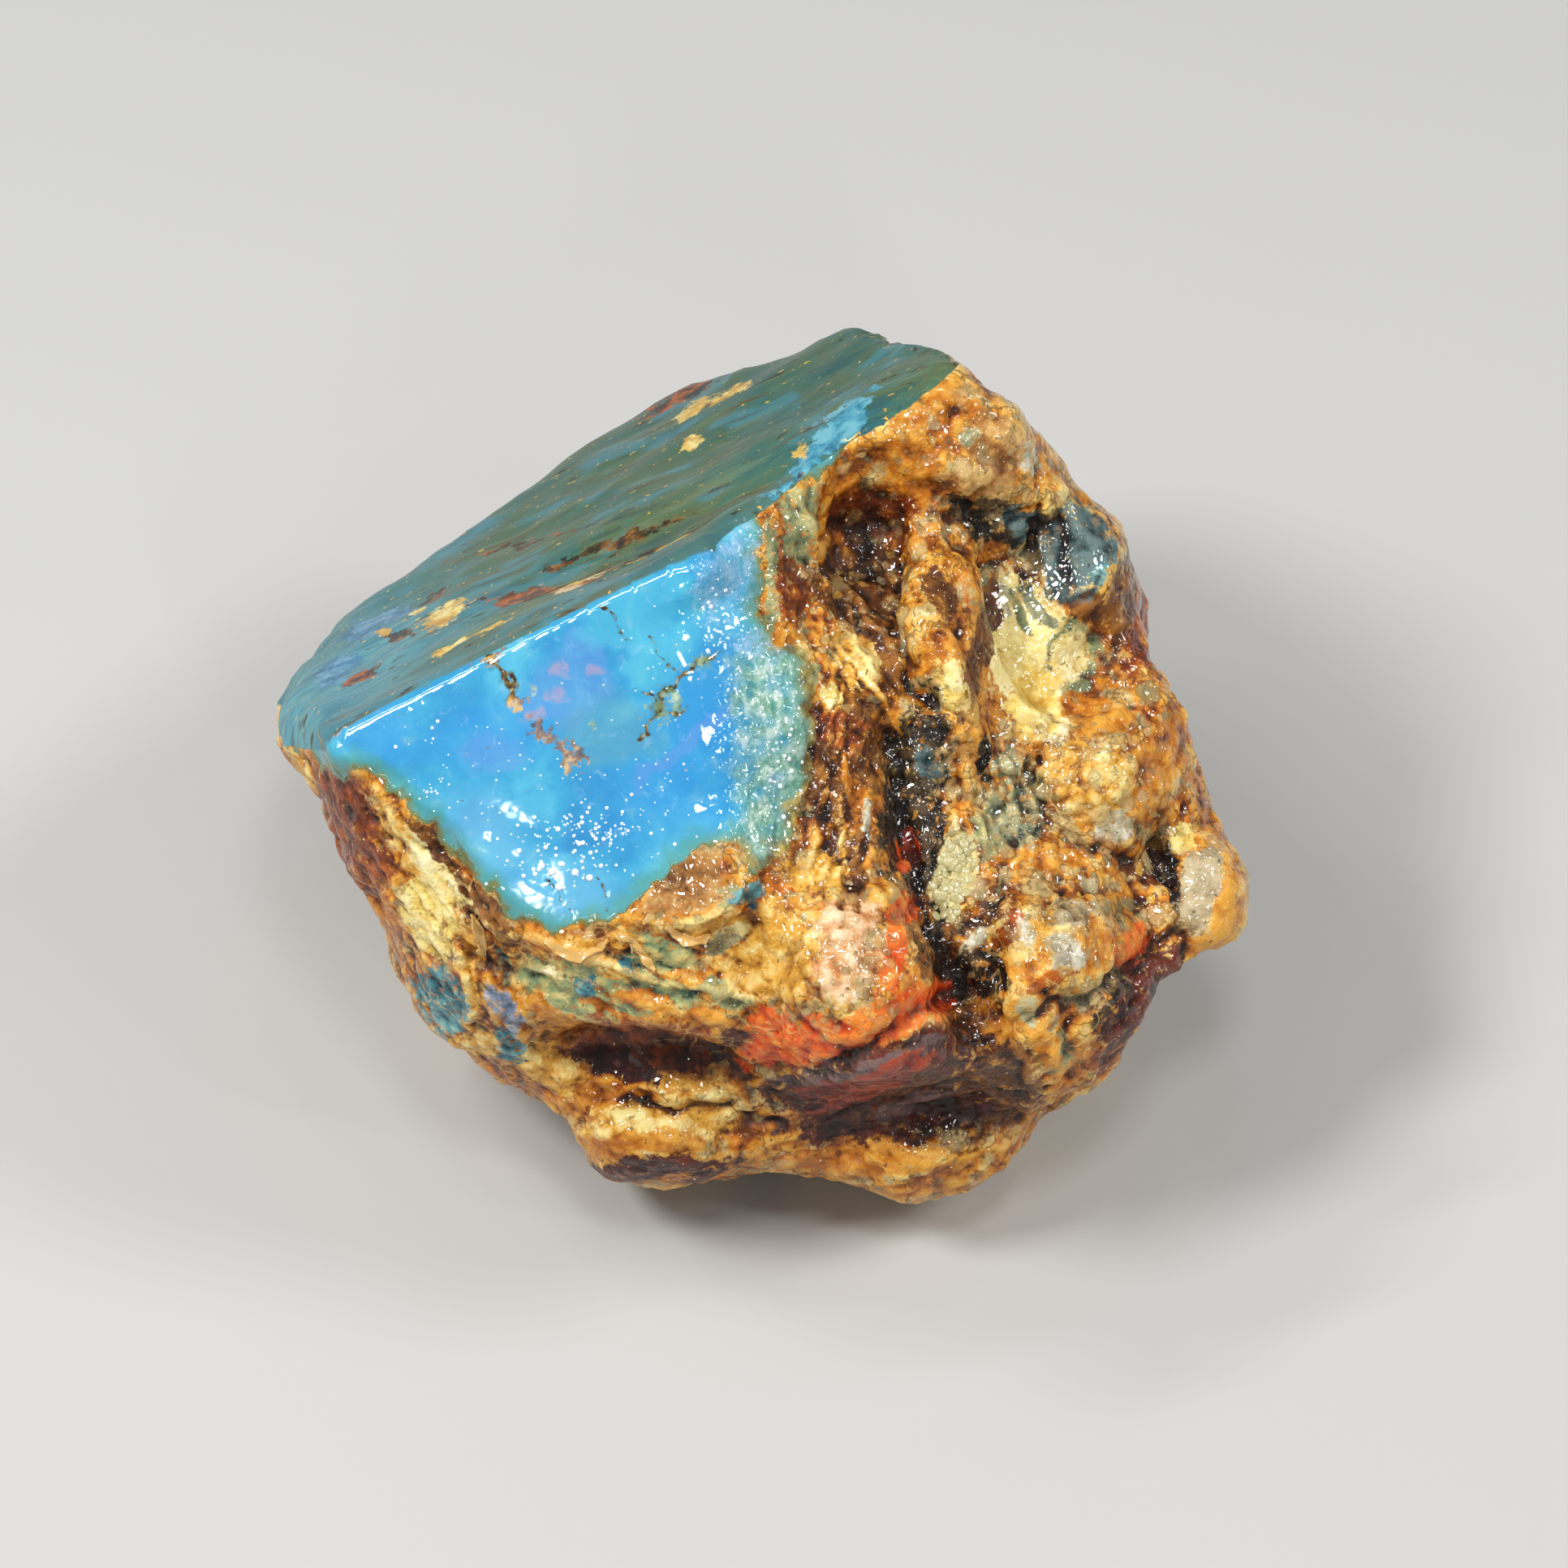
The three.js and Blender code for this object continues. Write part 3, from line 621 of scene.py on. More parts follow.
# %% [markdown]
# ## Marks for the finishes
# Each corner is told how much of each finish it carries. The finishes are laid in soft ellipses, whose
# borders are pulled about by noise so that they look grown and not painted. The values are kept on the
# mesh as attributes, and the material reads them. On the top cut the ellipses lie in the plane of the
# cut, along and down from the straight edge. The sides that no one sees are told by noise alone.
# %% Patches of finish
PATCHES = {
    "pond": [(-8.7, -10.3, 2.8, 1.5, -25), (-5.8, -10.3, 3.2, 1.2, -15), (-4.4, -8.7, 1.6, 0.8, -20)],
    "butter": [(12.7, 4.8, 1.9, 4.2, 14)],
    "green": [
        (-1.6, -10.4, 1.4, 0.7, -10), (-1.3, -5.9, 0.9, 0.5, 20), (-2.4, -15.1, 1.4, 0.25, -12),
        (4.9, 19.0, 2.2, 1.2, -10), (1.9, 10.9, 0.8, 2.2, -5), (0.5, 8.6, 0.35, 2.4, 4),
        (1.9, 4.0, 0.9, 1.0, 0), (10.7, 7.8, 0.25, 1.3, -5), (12.0, 7.0, 0.3, 1.2, 10),
        (14.4, 5.0, 1.3, 1.5, -20), (14.9, 4.0, 0.5, 1.4, -30), (17.4, 9.4, 0.7, 2.4, -20),
        (10.8, -3.2, 0.9, 1.6, -10), (13.4, -1.2, 1.2, 0.6, 40), (13.7, -13.2, 0.7, 1.8, 25),
    ],
    # pink patches: pink crust, and a painted glare on the lump and on the chin
    "pink_and_painted_glare": [(-18.9, 0.7, 1.0, 0.45, -75), (3.9, -8.4, 1.9, 2.4, -25), (13.2, -8.8, 0.8, 0.7, 0)],
    "gold": [
        (-15.4, -4.2, 2.9, 0.8, -50), (-13.0, -8.3, 1.3, 0.5, -62), (-21.2, 0.0, 1.1, 0.4, -62),
        (-22.2, 1.4, 0.5, 0.5, 0), (-13.2, -10.2, 0.3, 1.7, 10), (-12.9, -12.9, 0.9, 0.6, 0),
        (-0.4, -9.4, 1.6, 1.2, 0), (-8.2, -8.3, 1.5, 0.4, -28), (-5.9, -8.0, 1.0, 0.4, -35),
        (-1.8, -7.4, 1.8, 0.9, 0), (-7.1, -9.3, 1.1, 0.3, -28), (-9.9, -11.0, 0.6, 0.3, -30),
        (-3.1, -14.8, 2.2, 0.6, -12), (-4.7, -16.7, 3.8, 1.0, 6), (-9.9, -13.9, 2.1, 0.8, -28),
        (1.0, -8.6, 1.9, 2.2, 0), (4.1, 0.9, 0.6, 0.8, 15), (3.8, -3.3, 0.5, 2.7, -4),
        (2.6, -5.1, 1.4, 0.9, 0), (4.6, 5.0, 0.9, 1.5, 25), (12.6, 1.6, 0.9, 0.8, 20),
        (15.5, -0.9, 2.0, 2.0, 10), (12.6, -8.3, 2.3, 1.6, -10), (13.4, -7.0, 1.0, 0.5, 0),
    ],
    "amber": [
        (-17.6, -6.6, 1.2, 1.8, 15), (-6.4, -11.3, 2.0, 0.3, -18), (-2.8, -11.9, 3.2, 0.5, -8),
        (-3.0, -6.4, 1.5, 0.6, 10), (-4.6, -13.7, 3.2, 0.5, -8), (-5.2, -10.8, 1.9, 0.35, -18),
        (-3.4, -9.6, 1.2, 0.4, -10), (-9.0, -11.6, 2.4, 0.4, -25), (-5.5, -17.6, 3.2, 0.6, 4),
        (5.1, -18.4, 3.6, 0.8, -2), (4.2, -0.6, 1.2, 2.6, 10), (7.1, 14.2, 1.8, 2.5, -15),
        (9.2, 16.4, 1.8, 1.0, -30), (2.0, 13.0, 1.0, 0.7, 20), (6.7, 10.8, 0.7, 2.0, -15),
        (8.2, 5.2, 1.0, 0.9, 20), (15.4, 2.3, 1.9, 0.9, -15), (18.6, 0.0, 1.0, 2.6, -25),
        (13.4, -4.4, 2.0, 0.6, 0), (12.2, -9.6, 1.8, 0.7, 10), (15.2, -8.6, 0.8, 1.4, 20),
        (21.5, -6.8, 0.8, 2.4, -8), (20.5, -8.5, 1.5, 0.6, 5), (13.0, -12.6, 0.8, 1.5, 30),
        (12.0, -11.6, 1.6, 0.7, 30), (14.8, -13.8, 2.2, 0.6, 50),
    ],
    "brown": [
        (-13.6, -5.3, 4.3, 0.5, -50), (8.8, -12.2, 1.4, 1.2, 30), (11.0, -15.0, 2.2, 2.2, 45),
        (8.4, -8.6, 0.9, 2.2, -12), (7.2, -6.6, 0.7, 2.2, -10), (3.3, -0.4, 0.6, 2.6, 12),
        (4.7, 0.2, 0.4, 1.8, 12), (5.2, 1.6, 0.9, 1.8, 20), (4.5, -4.4, 0.4, 2.2, -4),
        (2.9, -1.9, 0.5, 2.8, 15), (4.7, 8.2, 1.9, 2.3, -10), (8.4, 7.6, 0.6, 1.4, 15),
        (5.8, 5.2, 0.6, 2.2, 15), (10.3, 5.6, 0.5, 3.7, -15), (15.3, 7.2, 1.0, 0.8, -20),
        (17.2, 7.6, 0.9, 2.6, -10), (10.6, -7.0, 1.2, 0.4, 20), (15.1, -16.8, 3.4, 1.0, 42),
    ],
    "rust": [
        (-18.6, -3.2, 1.6, 3.2, 22), (-5.0, -12.9, 4.0, 1.3, -5), (5.8, -14.5, 3.2, 0.4, 24),
        (4.4, -15.6, 2.4, 0.35, 20), (3.5, 1.6, 1.5, 0.8, -20), (5.2, 11.4, 2.0, 1.2, 5),
        (1.5, 7.8, 0.8, 1.5, 0), (18.0, 6.0, 0.8, 2.4, -14), (11.3, -7.8, 0.35, 1.5, -25),
        (13.4, -9.9, 1.4, 0.3, 20), (16.2, -13.2, 2.0, 0.7, 52),
    ],
    # maroon patches: maroon crust, and partly painted shade under the recess lip, on the underside and
    # along the lower right outline
    "maroon_and_painted_shade": [
        (-6.6, -13.9, 2.2, 0.7, -20), (-5.1, -18.9, 4.0, 0.6, 5), (7.6, -12.9, 2.6, 0.8, 22),
        (5.4, -14.3, 5.2, 1.8, 14), (6.4, -16.3, 5.3, 1.2, 8), (-0.7, -13.2, 1.3, 1.0, 0),
        (17.6, -10.4, 2.8, 1.2, 40), (17.0, -11.6, 2.2, 0.7, 50),
    ],
    "cream": [
        (-14.6, -5.0, 2.2, 0.4, -48), (-1.2, -7.8, 1.1, 0.5, 20), (-3.9, -5.2, 0.7, 0.4, 15),
        (-9.4, -9.5, 0.7, 0.3, -25), (8.9, -5.0, 0.9, 2.0, -12), (9.6, -9.2, 0.5, 0.7, 0),
        (14.3, 4.9, 0.9, 1.1, -20),
    ],
    "yellow": [
        (-14.9, -7.0, 1.9, 1.3, -60), (3.4, 3.0, 0.5, 0.5, 0), (8.7, 3.6, 0.8, 1.2, 20),
        (12.6, 3.0, 1.3, 1.7, -5), (19.6, -3.6, 0.8, 0.7, 0),
    ],
    "teal": [
        (-14.6, -11.0, 1.3, 1.7, 15), (-11.5, -13.0, 0.8, 0.8, 0), (-7.9, -10.2, 0.5, 0.4, -20),
        (-6.2, -9.3, 0.4, 0.3, 0), (-0.4, -5.9, 0.6, 0.5, 0), (15.6, 9.4, 0.8, 1.6, -15),
    ],
    "lilac": [(-11.6, -11.3, 0.6, 1.3, 35)],
    # grey patches: partly grey silica, partly painted glints, as on the wet strand in the furrow
    "grey_and_painted_glint": [
        (4.9, -2.4, 0.2, 0.8, 0), (11.4, 7.6, 0.25, 1.0, -10), (16.4, -2.9, 0.8, 0.8, 0),
        (12.3, 14.0, 1.0, 0.6, -40), (10.0, -8.0, 0.5, 0.6, 0), (14.0, -8.5, 0.9, 0.8, 0),
        (12.2, -7.6, 0.5, 0.7, 20),
    ],
    "black": [
        (7.0, -0.9, 1.4, 4.0, -10), (7.7, -3.6, 0.9, 2.4, -10), (8.0, 1.5, 0.9, 0.8, 0),
        (8.3, -7.2, 0.35, 2.2, -15), (9.4, -9.9, 0.6, 1.3, -15), (11.0, 11.3, 2.2, 1.1, -10),
        (10.4, 0.4, 0.4, 1.0, -10), (10.4, -9.6, 0.8, 1.2, 20), (19.0, -5.4, 0.35, 1.9, 10),
        (16.2, -11.0, 1.6, 0.3, 48),
    ],
    "red": [
        (2.7, -12.5, 3.6, 1.0, 14), (6.3, -8.2, 0.6, 2.4, -12), (7.0, -11.2, 1.9, 1.0, 24),
        (0.7, -12.4, 1.0, 1.2, 20), (6.9, -4.0, 0.5, 0.9, 0), (17.2, -8.6, 1.0, 0.8, 40),
    ],
    "tan": [(-3.2, -5.5, 1.9, 1.3, 15), (10.8, 14.7, 1.6, 1.4, -40), (10.1, 12.8, 1.8, 0.6, -10)],
    "sage": [
        (-1.6, -8.2, 0.8, 0.4, 10), (9.6, 15.2, 0.6, 0.5, 0), (13.0, 7.2, 0.4, 1.5, 30),
        (11.4, -0.3, 0.7, 0.8, 0), (11.9, -2.4, 1.2, 1.5, -10), (12.4, -11.4, 0.5, 0.8, 30),
    ],
    # smoky patches: smoky silica on the knob and chin, and a painted glint on the dark crust above the
    # pocket
    "smoky_and_painted_glint": [(11.2, 11.4, 1.0, 0.35, 0), (14.4, -6.8, 1.2, 0.7, 0), (20.4, -5.8, 0.9, 1.8, -15)],
    "ink": [(7.8, -0.2, 0.6, 1.0, 0), (14.7, 9.9, 1.6, 2.3, -15), (12.0, 11.2, 0.8, 0.8, 0)],
    "plum": [(6.4, -13.3, 2.6, 0.4, 24), (2.2, -14.5, 2.2, 0.4, 8), (7.4, -15.6, 2.2, 0.5, 30)],
    "brick": [(5.6, -14.2, 2.8, 0.35, 24), (3.0, -14.9, 1.6, 0.2, 12), (4.6, -15.3, 2.6, 0.3, 22)],
    "strings": [
        (-5.4, -10.0, 6.0, 2.2, -15), (-14.0, -8.6, 2.4, 5.2, -55), (-12.4, -12.0, 2.2, 2.4, 0),
        (12.0, -3.0, 2.6, 4.6, -10), (13.4, -11.6, 2.4, 3.4, 25),
    ],
}
TOP_PATCHES = {
    "sky": [(7.4, 7.4, 4.8, 1.5, 56), (8.6, 5.0, 1.0, 2.0, 0)],
    "lilac": [(-15.6, 13.6, 2.0, 1.6, -20), (-17.6, 9.0, 1.2, 2.0, 0)],
    "rust": [(-8.0, 7.0, 2.6, 0.9, -40), (0.8, 26.2, 2.4, 1.4, 0), (-16.4, 6.4, 0.8, 0.8, 0)],
    "brown": [
        (-12.8, 13.4, 0.9, 0.9, 0), (-3.5, 8.8, 4.0, 0.5, -12), (-7.7, 14.6, 5.4, 0.25, -38),
        (-14.2, 9.4, 1.6, 0.3, -60), (-1.0, 5.4, 8.0, 0.35, -4),
    ],
    "pink_and_painted_glare": [(-5.0, 4.4, 1.8, 0.9, -20)],
    "gold": [
        (-12.1, 9.2, 1.4, 1.6, 20), (-10.5, 3.6, 2.2, 0.3, -10), (1.4, 22.8, 1.0, 1.4, 0),
        (3.6, 22.3, 1.0, 1.2, 0), (1.1, 17.6, 0.6, 0.9, 0), (-15.2, 11.0, 0.6, 0.5, 0),
        (-13.4, 11.8, 0.5, 0.4, 0), (-1.0, 5.0, 8.0, 0.2, -4), (6.4, 8.8, 0.4, 1.0, 20),
        (9.0, 6.4, 0.6, 1.2, 0),
    ],
}
OPAL_TINTS = {
    "deep": [
        (-2.4, 2.4, 1.9, 3.0, -20), (-3.0, -1.2, 3.6, 2.2, 10), (-17.0, 1.2, 1.4, 1.6, -40),
        (-11.5, 1.5, 3.5, 1.4, 10),
    ],
    "violet": [
        (-8.9, 3.2, 2.2, 1.6, 10), (-7.9, 4.8, 0.8, 1.6, 10), (-12.0, 0.4, 1.6, 0.9, 0),
        (-3.4, 0.6, 3.2, 0.4, 38),
    ],
    "aqua": [(-5.4, 7.0, 3.0, 1.5, 30), (-4.6, 4.6, 1.2, 1.8, -40), (0.0, -2.6, 1.6, 2.0, 0)],
    "pale": [
        (-12.4, -3.6, 2.2, 1.8, -45), (-8.8, -6.0, 2.6, 1.4, -10), (-0.9, 9.4, 1.2, 3.0, -10),
        (-20.6, 2.2, 1.8, 1.2, 0),
    ],
    "dusk": [(-6.8, 1.4, 2.4, 1.7, 0)],
    "dirt": [
        (-9.8, 1.2, 1.1, 0.5, -35), (-8.6, 0.4, 0.6, 0.9, 30), (-10.9, 2.6, 0.5, 0.6, 0),
        (-12.3, 5.0, 0.7, 0.8, -30),
    ],
    "olive": [
        (-4.2, 2.6, 0.7, 1.1, -25), (-7.4, 1.6, 0.3, 0.3, 0), (-2.6, 4.6, 0.8, 0.3, 20),
        (-10.4, 3.4, 0.3, 0.3, 0),
    ],
    "blush": [
        (-9.0, 4.1, 0.5, 0.3, 0), (-9.3, 3.0, 0.6, 0.4, 0), (-7.6, 4.2, 0.3, 0.3, 0),
        (-10.2, 1.9, 0.6, 0.4, 0),
    ],
    "frost": [(-1.4, 8.6, 1.4, 2.8, -20), (0.2, 5.4, 1.4, 1.0, 0)],
}
bent = wander(spots, 0.45, 1.6, 3, 21.0, 27.0)
on_edge = smooth(2.0, 1.0, from_edge) * worn
left_end = smooth(-19.2, -20.2, spots[:, 0])
on_top = np.maximum(smooth(-0.75 - 1.1 * left_end, -0.5 - 0.4 * left_end, above_top(spots)), on_top)
on_top = on_top * (1 - on_edge) + on_edge * smooth(-0.10, 0.06, above_top(spots) - above_window(spots))
opal_in = opal_in - 2.5 * window_crust
turned_out = smooth(-0.10, 0.25, neighbour_mean(facing, 12)[:, 2])
show_side = np.maximum(smooth(-3.0, -1.0, spots[:, 2]), turned_out) * (1 - on_top)
cut_places = np.stack([cut_along, cut_depth, np.zeros(len(spots))], axis=1)
cut_bent = cut_places.copy()
cut_bent[:, 0] += 0.6 * soft(spots, 1.4, 3, 31.0)
cut_bent[:, 1] += 0.6 * soft(spots, 1.2, 3, 33.0)
on_show_side = PATCHES | OPAL_TINTS
marks = {name: any_patch(bent, ellipses) * show_side for name, ellipses in on_show_side.items()}
for name, ellipses in TOP_PATCHES.items():
    marks[name] = np.maximum(marks.get(name, 0), any_patch(cut_bent, ellipses) * on_top)
far_side = (1 - np.maximum(smooth(-3.0, 1.0, spots[:, 2]), turned_out)) * (1 - on_top)
drift = soft(spots, 6.0, 3, 41.0)
drift_two = soft(spots, 4.0, 3, 47.0)
FAR_SIDE = [
    ("gold", drift, 0.10, 0.45),
    ("rust", -drift, 0.15, 0.5),
    ("teal", drift_two, 0.30, 0.5),
    ("green", drift_two, 0.18, 0.45),
    ("maroon_and_painted_shade", -drift_two, 0.25, 0.5),
]
for name, level, low, high in FAR_SIDE:
    marks[name] = np.maximum(marks[name], far_side * smooth(low, high, level))
print("finishes:", {name: round(float(value.mean()), 3) for name, value in marks.items()})


# %% Hollows and crests
def neighbour_gap(rounds):
    """How far each corner stands above the mean of its neighbours, in mm, after some rounds."""
    return ((spots - neighbour_mean(spots, rounds)) * facing).sum(axis=1)


crest = neighbour_gap(5)
bulge = neighbour_gap(30)
for name, gap in (("crest", crest), ("bulge", bulge)):
    print(name, np.percentile(gap, [5, 50, 95]).round(3))

# %% Keep the marks on the mesh
facet = smooth(-2.8, 0.4, bent[:, 0]) * (0.15 + 0.85 * smooth(6.4, 4.4, bent[:, 1]))
under = smooth(0.15, -0.35, facing[:, 1]) * (1 - on_opal)
marks.update(
    opal_in=opal_in, on_top=on_top, facet=facet, crest=crest, bulge=bulge, strand=strand, under=under,
    calm=calm, pebbly=np.maximum(pebbly, far_side * 0.5), crack=np.clip(crack_near, 0, 9),
)
for name, values in marks.items():
    layer = stone.data.attributes.new(name, "FLOAT", "POINT")
    layer.data.foreach_set("value", values.astype(np.float32))
film_facing = neighbour_mean(facing, 26)
film_facing = film_facing / np.linalg.norm(film_facing, axis=1)[:, None]
for name, values in (("film_facing", film_facing @ SHOW_AXES), ("cut_place", cut_places)):
    layer = stone.data.attributes.new(name, "FLOAT_VECTOR", "POINT")
    layer.data.foreach_set("vector", values.astype(np.float32).ravel())
print("attributes:", len(stone.data.attributes))

# %% [markdown]
# ## The stone's material
# One material, built up as the stone is: ironstone crust, then patches of finish, then the opal, and a
# wet, glossy coat over all of it.
# %% Node helpers
finish = bpy.data.materials.new("opal_in_ironstone")
finish.use_nodes = True
tree = finish.node_tree
surface = tree.nodes["Principled BSDF"]


# A Mix node keeps a set of sockets for each kind of value, so they are told by number.
MIX_SHARE = 0
VECTOR_BELOW, VECTOR_ABOVE, VECTOR_RESULT = 4, 5, 1
COLOUR_BELOW, COLOUR_ABOVE, COLOUR_RESULT = 6, 7, 2


def node(kind, **settings):
    made = tree.nodes.new(kind)
    for key, value in settings.items():
        setattr(made, key, value)
    return made


def wire(value, socket):
    """Put a number, a colour or another node's output into a socket."""
    if isinstance(value, bpy.types.NodeSocket):
        tree.links.new(value, socket)
    else:
        socket.default_value = value


def mark(name):
    """One of the marks kept on the mesh."""
    return node("ShaderNodeAttribute", attribute_name=name).outputs["Fac"]


def vector_mark(name):
    return node("ShaderNodeAttribute", attribute_name=name).outputs["Vector"]


def maths(operation, first, second=0.0):
    made = node("ShaderNodeMath", operation=operation)
    wire(first, made.inputs[0])
    wire(second, made.inputs[1])
    return made.outputs[0]


def plus(*values):
    total = values[0]
    for value in values[1:]:
        total = maths("ADD", total, value)
    return total


def times(*values):
    total = values[0]
    for value in values[1:]:
        total = maths("MULTIPLY", total, value)
    return total


def swing(value, reach):
    """A noise from 0 to 1 as one that swings about 0, over a reach in all."""
    return times(plus(value, -0.5), reach)


def ramp(value, low, high, to_low=0.0, to_high=1.0):
    """An eased ramp: to_low at low, to_high at high."""
    made = node("ShaderNodeMapRange", interpolation_type="SMOOTHSTEP")
    wire(value, made.inputs["Value"])
    wire(low, made.inputs["From Min"])
    wire(high, made.inputs["From Max"])
    wire(to_low, made.inputs["To Min"])
    wire(to_high, made.inputs["To Max"])
    return made.outputs["Result"]


def mix(share, below, above):
    """The colour below, with the colour above over it where the share is high."""
    made = node("ShaderNodeMix", data_type="RGBA")
    wire(share, made.inputs[MIX_SHARE])
    wire(below, made.inputs[COLOUR_BELOW])
    wire(above, made.inputs[COLOUR_ABOVE])
    return made.outputs[COLOUR_RESULT]


def shade(red, green, blue):
    """A screen colour from 0 to 255 as the linear colour that a node wants."""
    screen = np.array([red, green, blue]) / 255
    linear = np.where(screen <= 0.04045, screen / 12.92, ((screen + 0.055) / 1.055) ** 2.4)
    return (*linear.tolist(), 1.0)


def lay(below, share, strength, above):
    """The colour below, with another laid over it where share says. Three numbers are a screen colour."""
    if isinstance(above, tuple):
        above = shade(*above)
    return mix(times(share, strength), below, above)


def colours(value, *stops):
    """A colour ramp: each stop is (position, (red, green, blue)) in screen colours."""
    made = node("ShaderNodeValToRGB")
    strip = made.color_ramp.elements
    while len(strip) < len(stops):
        strip.new(0.5)
    for element, (position, screen) in zip(strip, stops):
        element.position = position
        element.color = shade(*screen)
    wire(value, made.inputs["Fac"])
    return made.outputs["Color"]


place_mm = node("ShaderNodeVectorMath", operation="SCALE")
tree.links.new(node("ShaderNodeTexCoord").outputs["Object"], place_mm.inputs[0])
place_mm.inputs["Scale"].default_value = 1 / MM
PLACE = place_mm.outputs["Vector"]
CUT_PLACE = vector_mark("cut_place")


def grain(size, detail=3.0, rough=0.55, bend=0.0, place=PLACE, stretch=None, output="Fac"):
    """Soft noise about size mm wide, from 0 to 1."""
    if stretch is not None:
        mapping = node("ShaderNodeMapping")
        mapping.inputs["Scale"].default_value = stretch
        tree.links.new(place, mapping.inputs["Vector"])
        place = mapping.outputs["Vector"]
    made = node("ShaderNodeTexNoise")
    made.inputs["Scale"].default_value = 1 / size
    made.inputs["Detail"].default_value = detail
    made.inputs["Roughness"].default_value = rough
    made.inputs["Distortion"].default_value = bend
    tree.links.new(place, made.inputs["Vector"])
    return made.outputs[output]


def voronoi(size, place):
    """The outputs of a Voronoi node with cells about size mm wide."""
    made = node("ShaderNodeTexVoronoi")
    made.inputs["Scale"].default_value = 1 / size
    tree.links.new(place, made.inputs["Vector"])
    return made.outputs


def parts(value, kind="ShaderNodeSeparateColor"):
    """The three numbers of a colour or a vector."""
    made = node(kind)
    tree.links.new(value, made.inputs[0])
    return made.outputs


print("helpers ready")

# %% [markdown]
# The crust's tone joins four things: noise of three sizes, how far a spot stands above its near
# neighbours, how far above its wider surroundings, and the strands. High spots are paler and hollows are
# dark: partly the gold ochre rubbed on the highs and the brown oxide kept in the hollows, and partly
# painted light on the highs and painted shade in the hollows.
# %% Crust
slow = grain(3.0, 3, 0.6, 0.3)
quick = grain(0.9, 3, 0.6, 0.4)
tiny = grain(0.25, 2, 0.5)
crest_mark = mark("crest")
bulge_mark = mark("bulge")
noise_tone = plus(times(slow, 0.6), times(quick, 0.7), times(tiny, 0.2), -0.25)
# crests paler and hollows darker: partly painted light and painted shade, partly the crust's own ochre
# and oxide
tone = plus(noise_tone, times(crest_mark, 1.6), times(bulge_mark, 0.30), times(mark("strand"), 0.08))
crust = colours(
    tone,
    (0.16, (26, 10, 3)),
    (0.30, (88, 42, 10)),
    (0.42, (152, 82, 18)),
    (0.53, (198, 124, 31)),
    (0.67, (226, 162, 58)),
    (0.90, (246, 210, 122)),
)
orange_share = ramp(grain(1.8, 4, 0.6, 0.6), 0.54, 0.66)
pebbly_mark = mark("pebbly")
glass_share = ramp(plus(grain(1.5, 4, 0.6), times(pebbly_mark, 0.05)), 0.54, 0.63)
# the silica glass is paler on the crests too, partly painted light
glass = colours(
    plus(times(quick, 0.6), times(tiny, 0.4), times(crest_mark, 0.6)),
    (0.34, (78, 76, 44)),
    (0.46, (146, 144, 100)),
    (0.57, (190, 176, 126)),
    (0.72, (232, 214, 164)),
)
crust = lay(crust, glass_share, 0.68, glass)
orange = colours(tone, (0.30, (112, 40, 4)), (0.55, (226, 116, 16)), (0.75, (250, 176, 66)))
crust = lay(crust, orange_share, 0.6, orange)
vein_level = maths("ABSOLUTE", plus(grain(2.2, 3, 0.6), -0.5))
crust = lay(crust, ramp(vein_level, 0.022, 0.004), 0.6, (74, 34, 8))
print("crust laid")

# %% [markdown]
# Grains of silica sit in the crust like raisins in dough: round, milky, each with its own colour. They
# are Voronoi cells, of which only the middle is shown, and only some of the cells are used. Each cell's
# random colour gives three numbers: its kind, its width and its chance to be used. A second, smaller set
# fills the gaps.
# %% Silica grains
bend_by = node("ShaderNodeVectorMath", operation="MULTIPLY_ADD")
tree.links.new(grain(0.9, 2, 0.5, output="Color"), bend_by.inputs[0])
bend_by.inputs[1].default_value = (0.8, 0.8, 0.8)
tree.links.new(PLACE, bend_by.inputs[2])
bent_place = bend_by.outputs["Vector"]
body = crust
grain_marks = []
grains_wanted = plus(0.18, times(pebbly_mark, 0.5), swing(grain(2.4, 3), 3.0))
for size, dark_rim in ((1.3, 0.5), (0.6, 0.3)):
    cell = voronoi(size, bent_place)
    kind, width, chance = parts(cell["Color"])
    silica = colours(
        kind,
        (0.0, (104, 96, 56)),
        (0.2, (168, 160, 110)),
        (0.4, (236, 206, 140)),
        (0.6, (226, 168, 96)),
        (0.8, (246, 190, 74)),
        (1.0, (206, 196, 150)),
    )
    radius = plus(0.22, times(width, 0.26))
    used = ramp(plus(chance, grains_wanted), 0.85, 1.05)
    inside = times(ramp(cell["Distance"], plus(radius, 0.06), plus(radius, -0.14)), used)
    halo = times(ramp(cell["Distance"], plus(radius, 0.10), plus(radius, 0.01)), used)
    body = lay(body, halo, dark_rim, (120, 62, 12))
    body = lay(body, inside, 0.62, silica)
    grain_marks.append((inside, halo, silica))
print("grains laid")
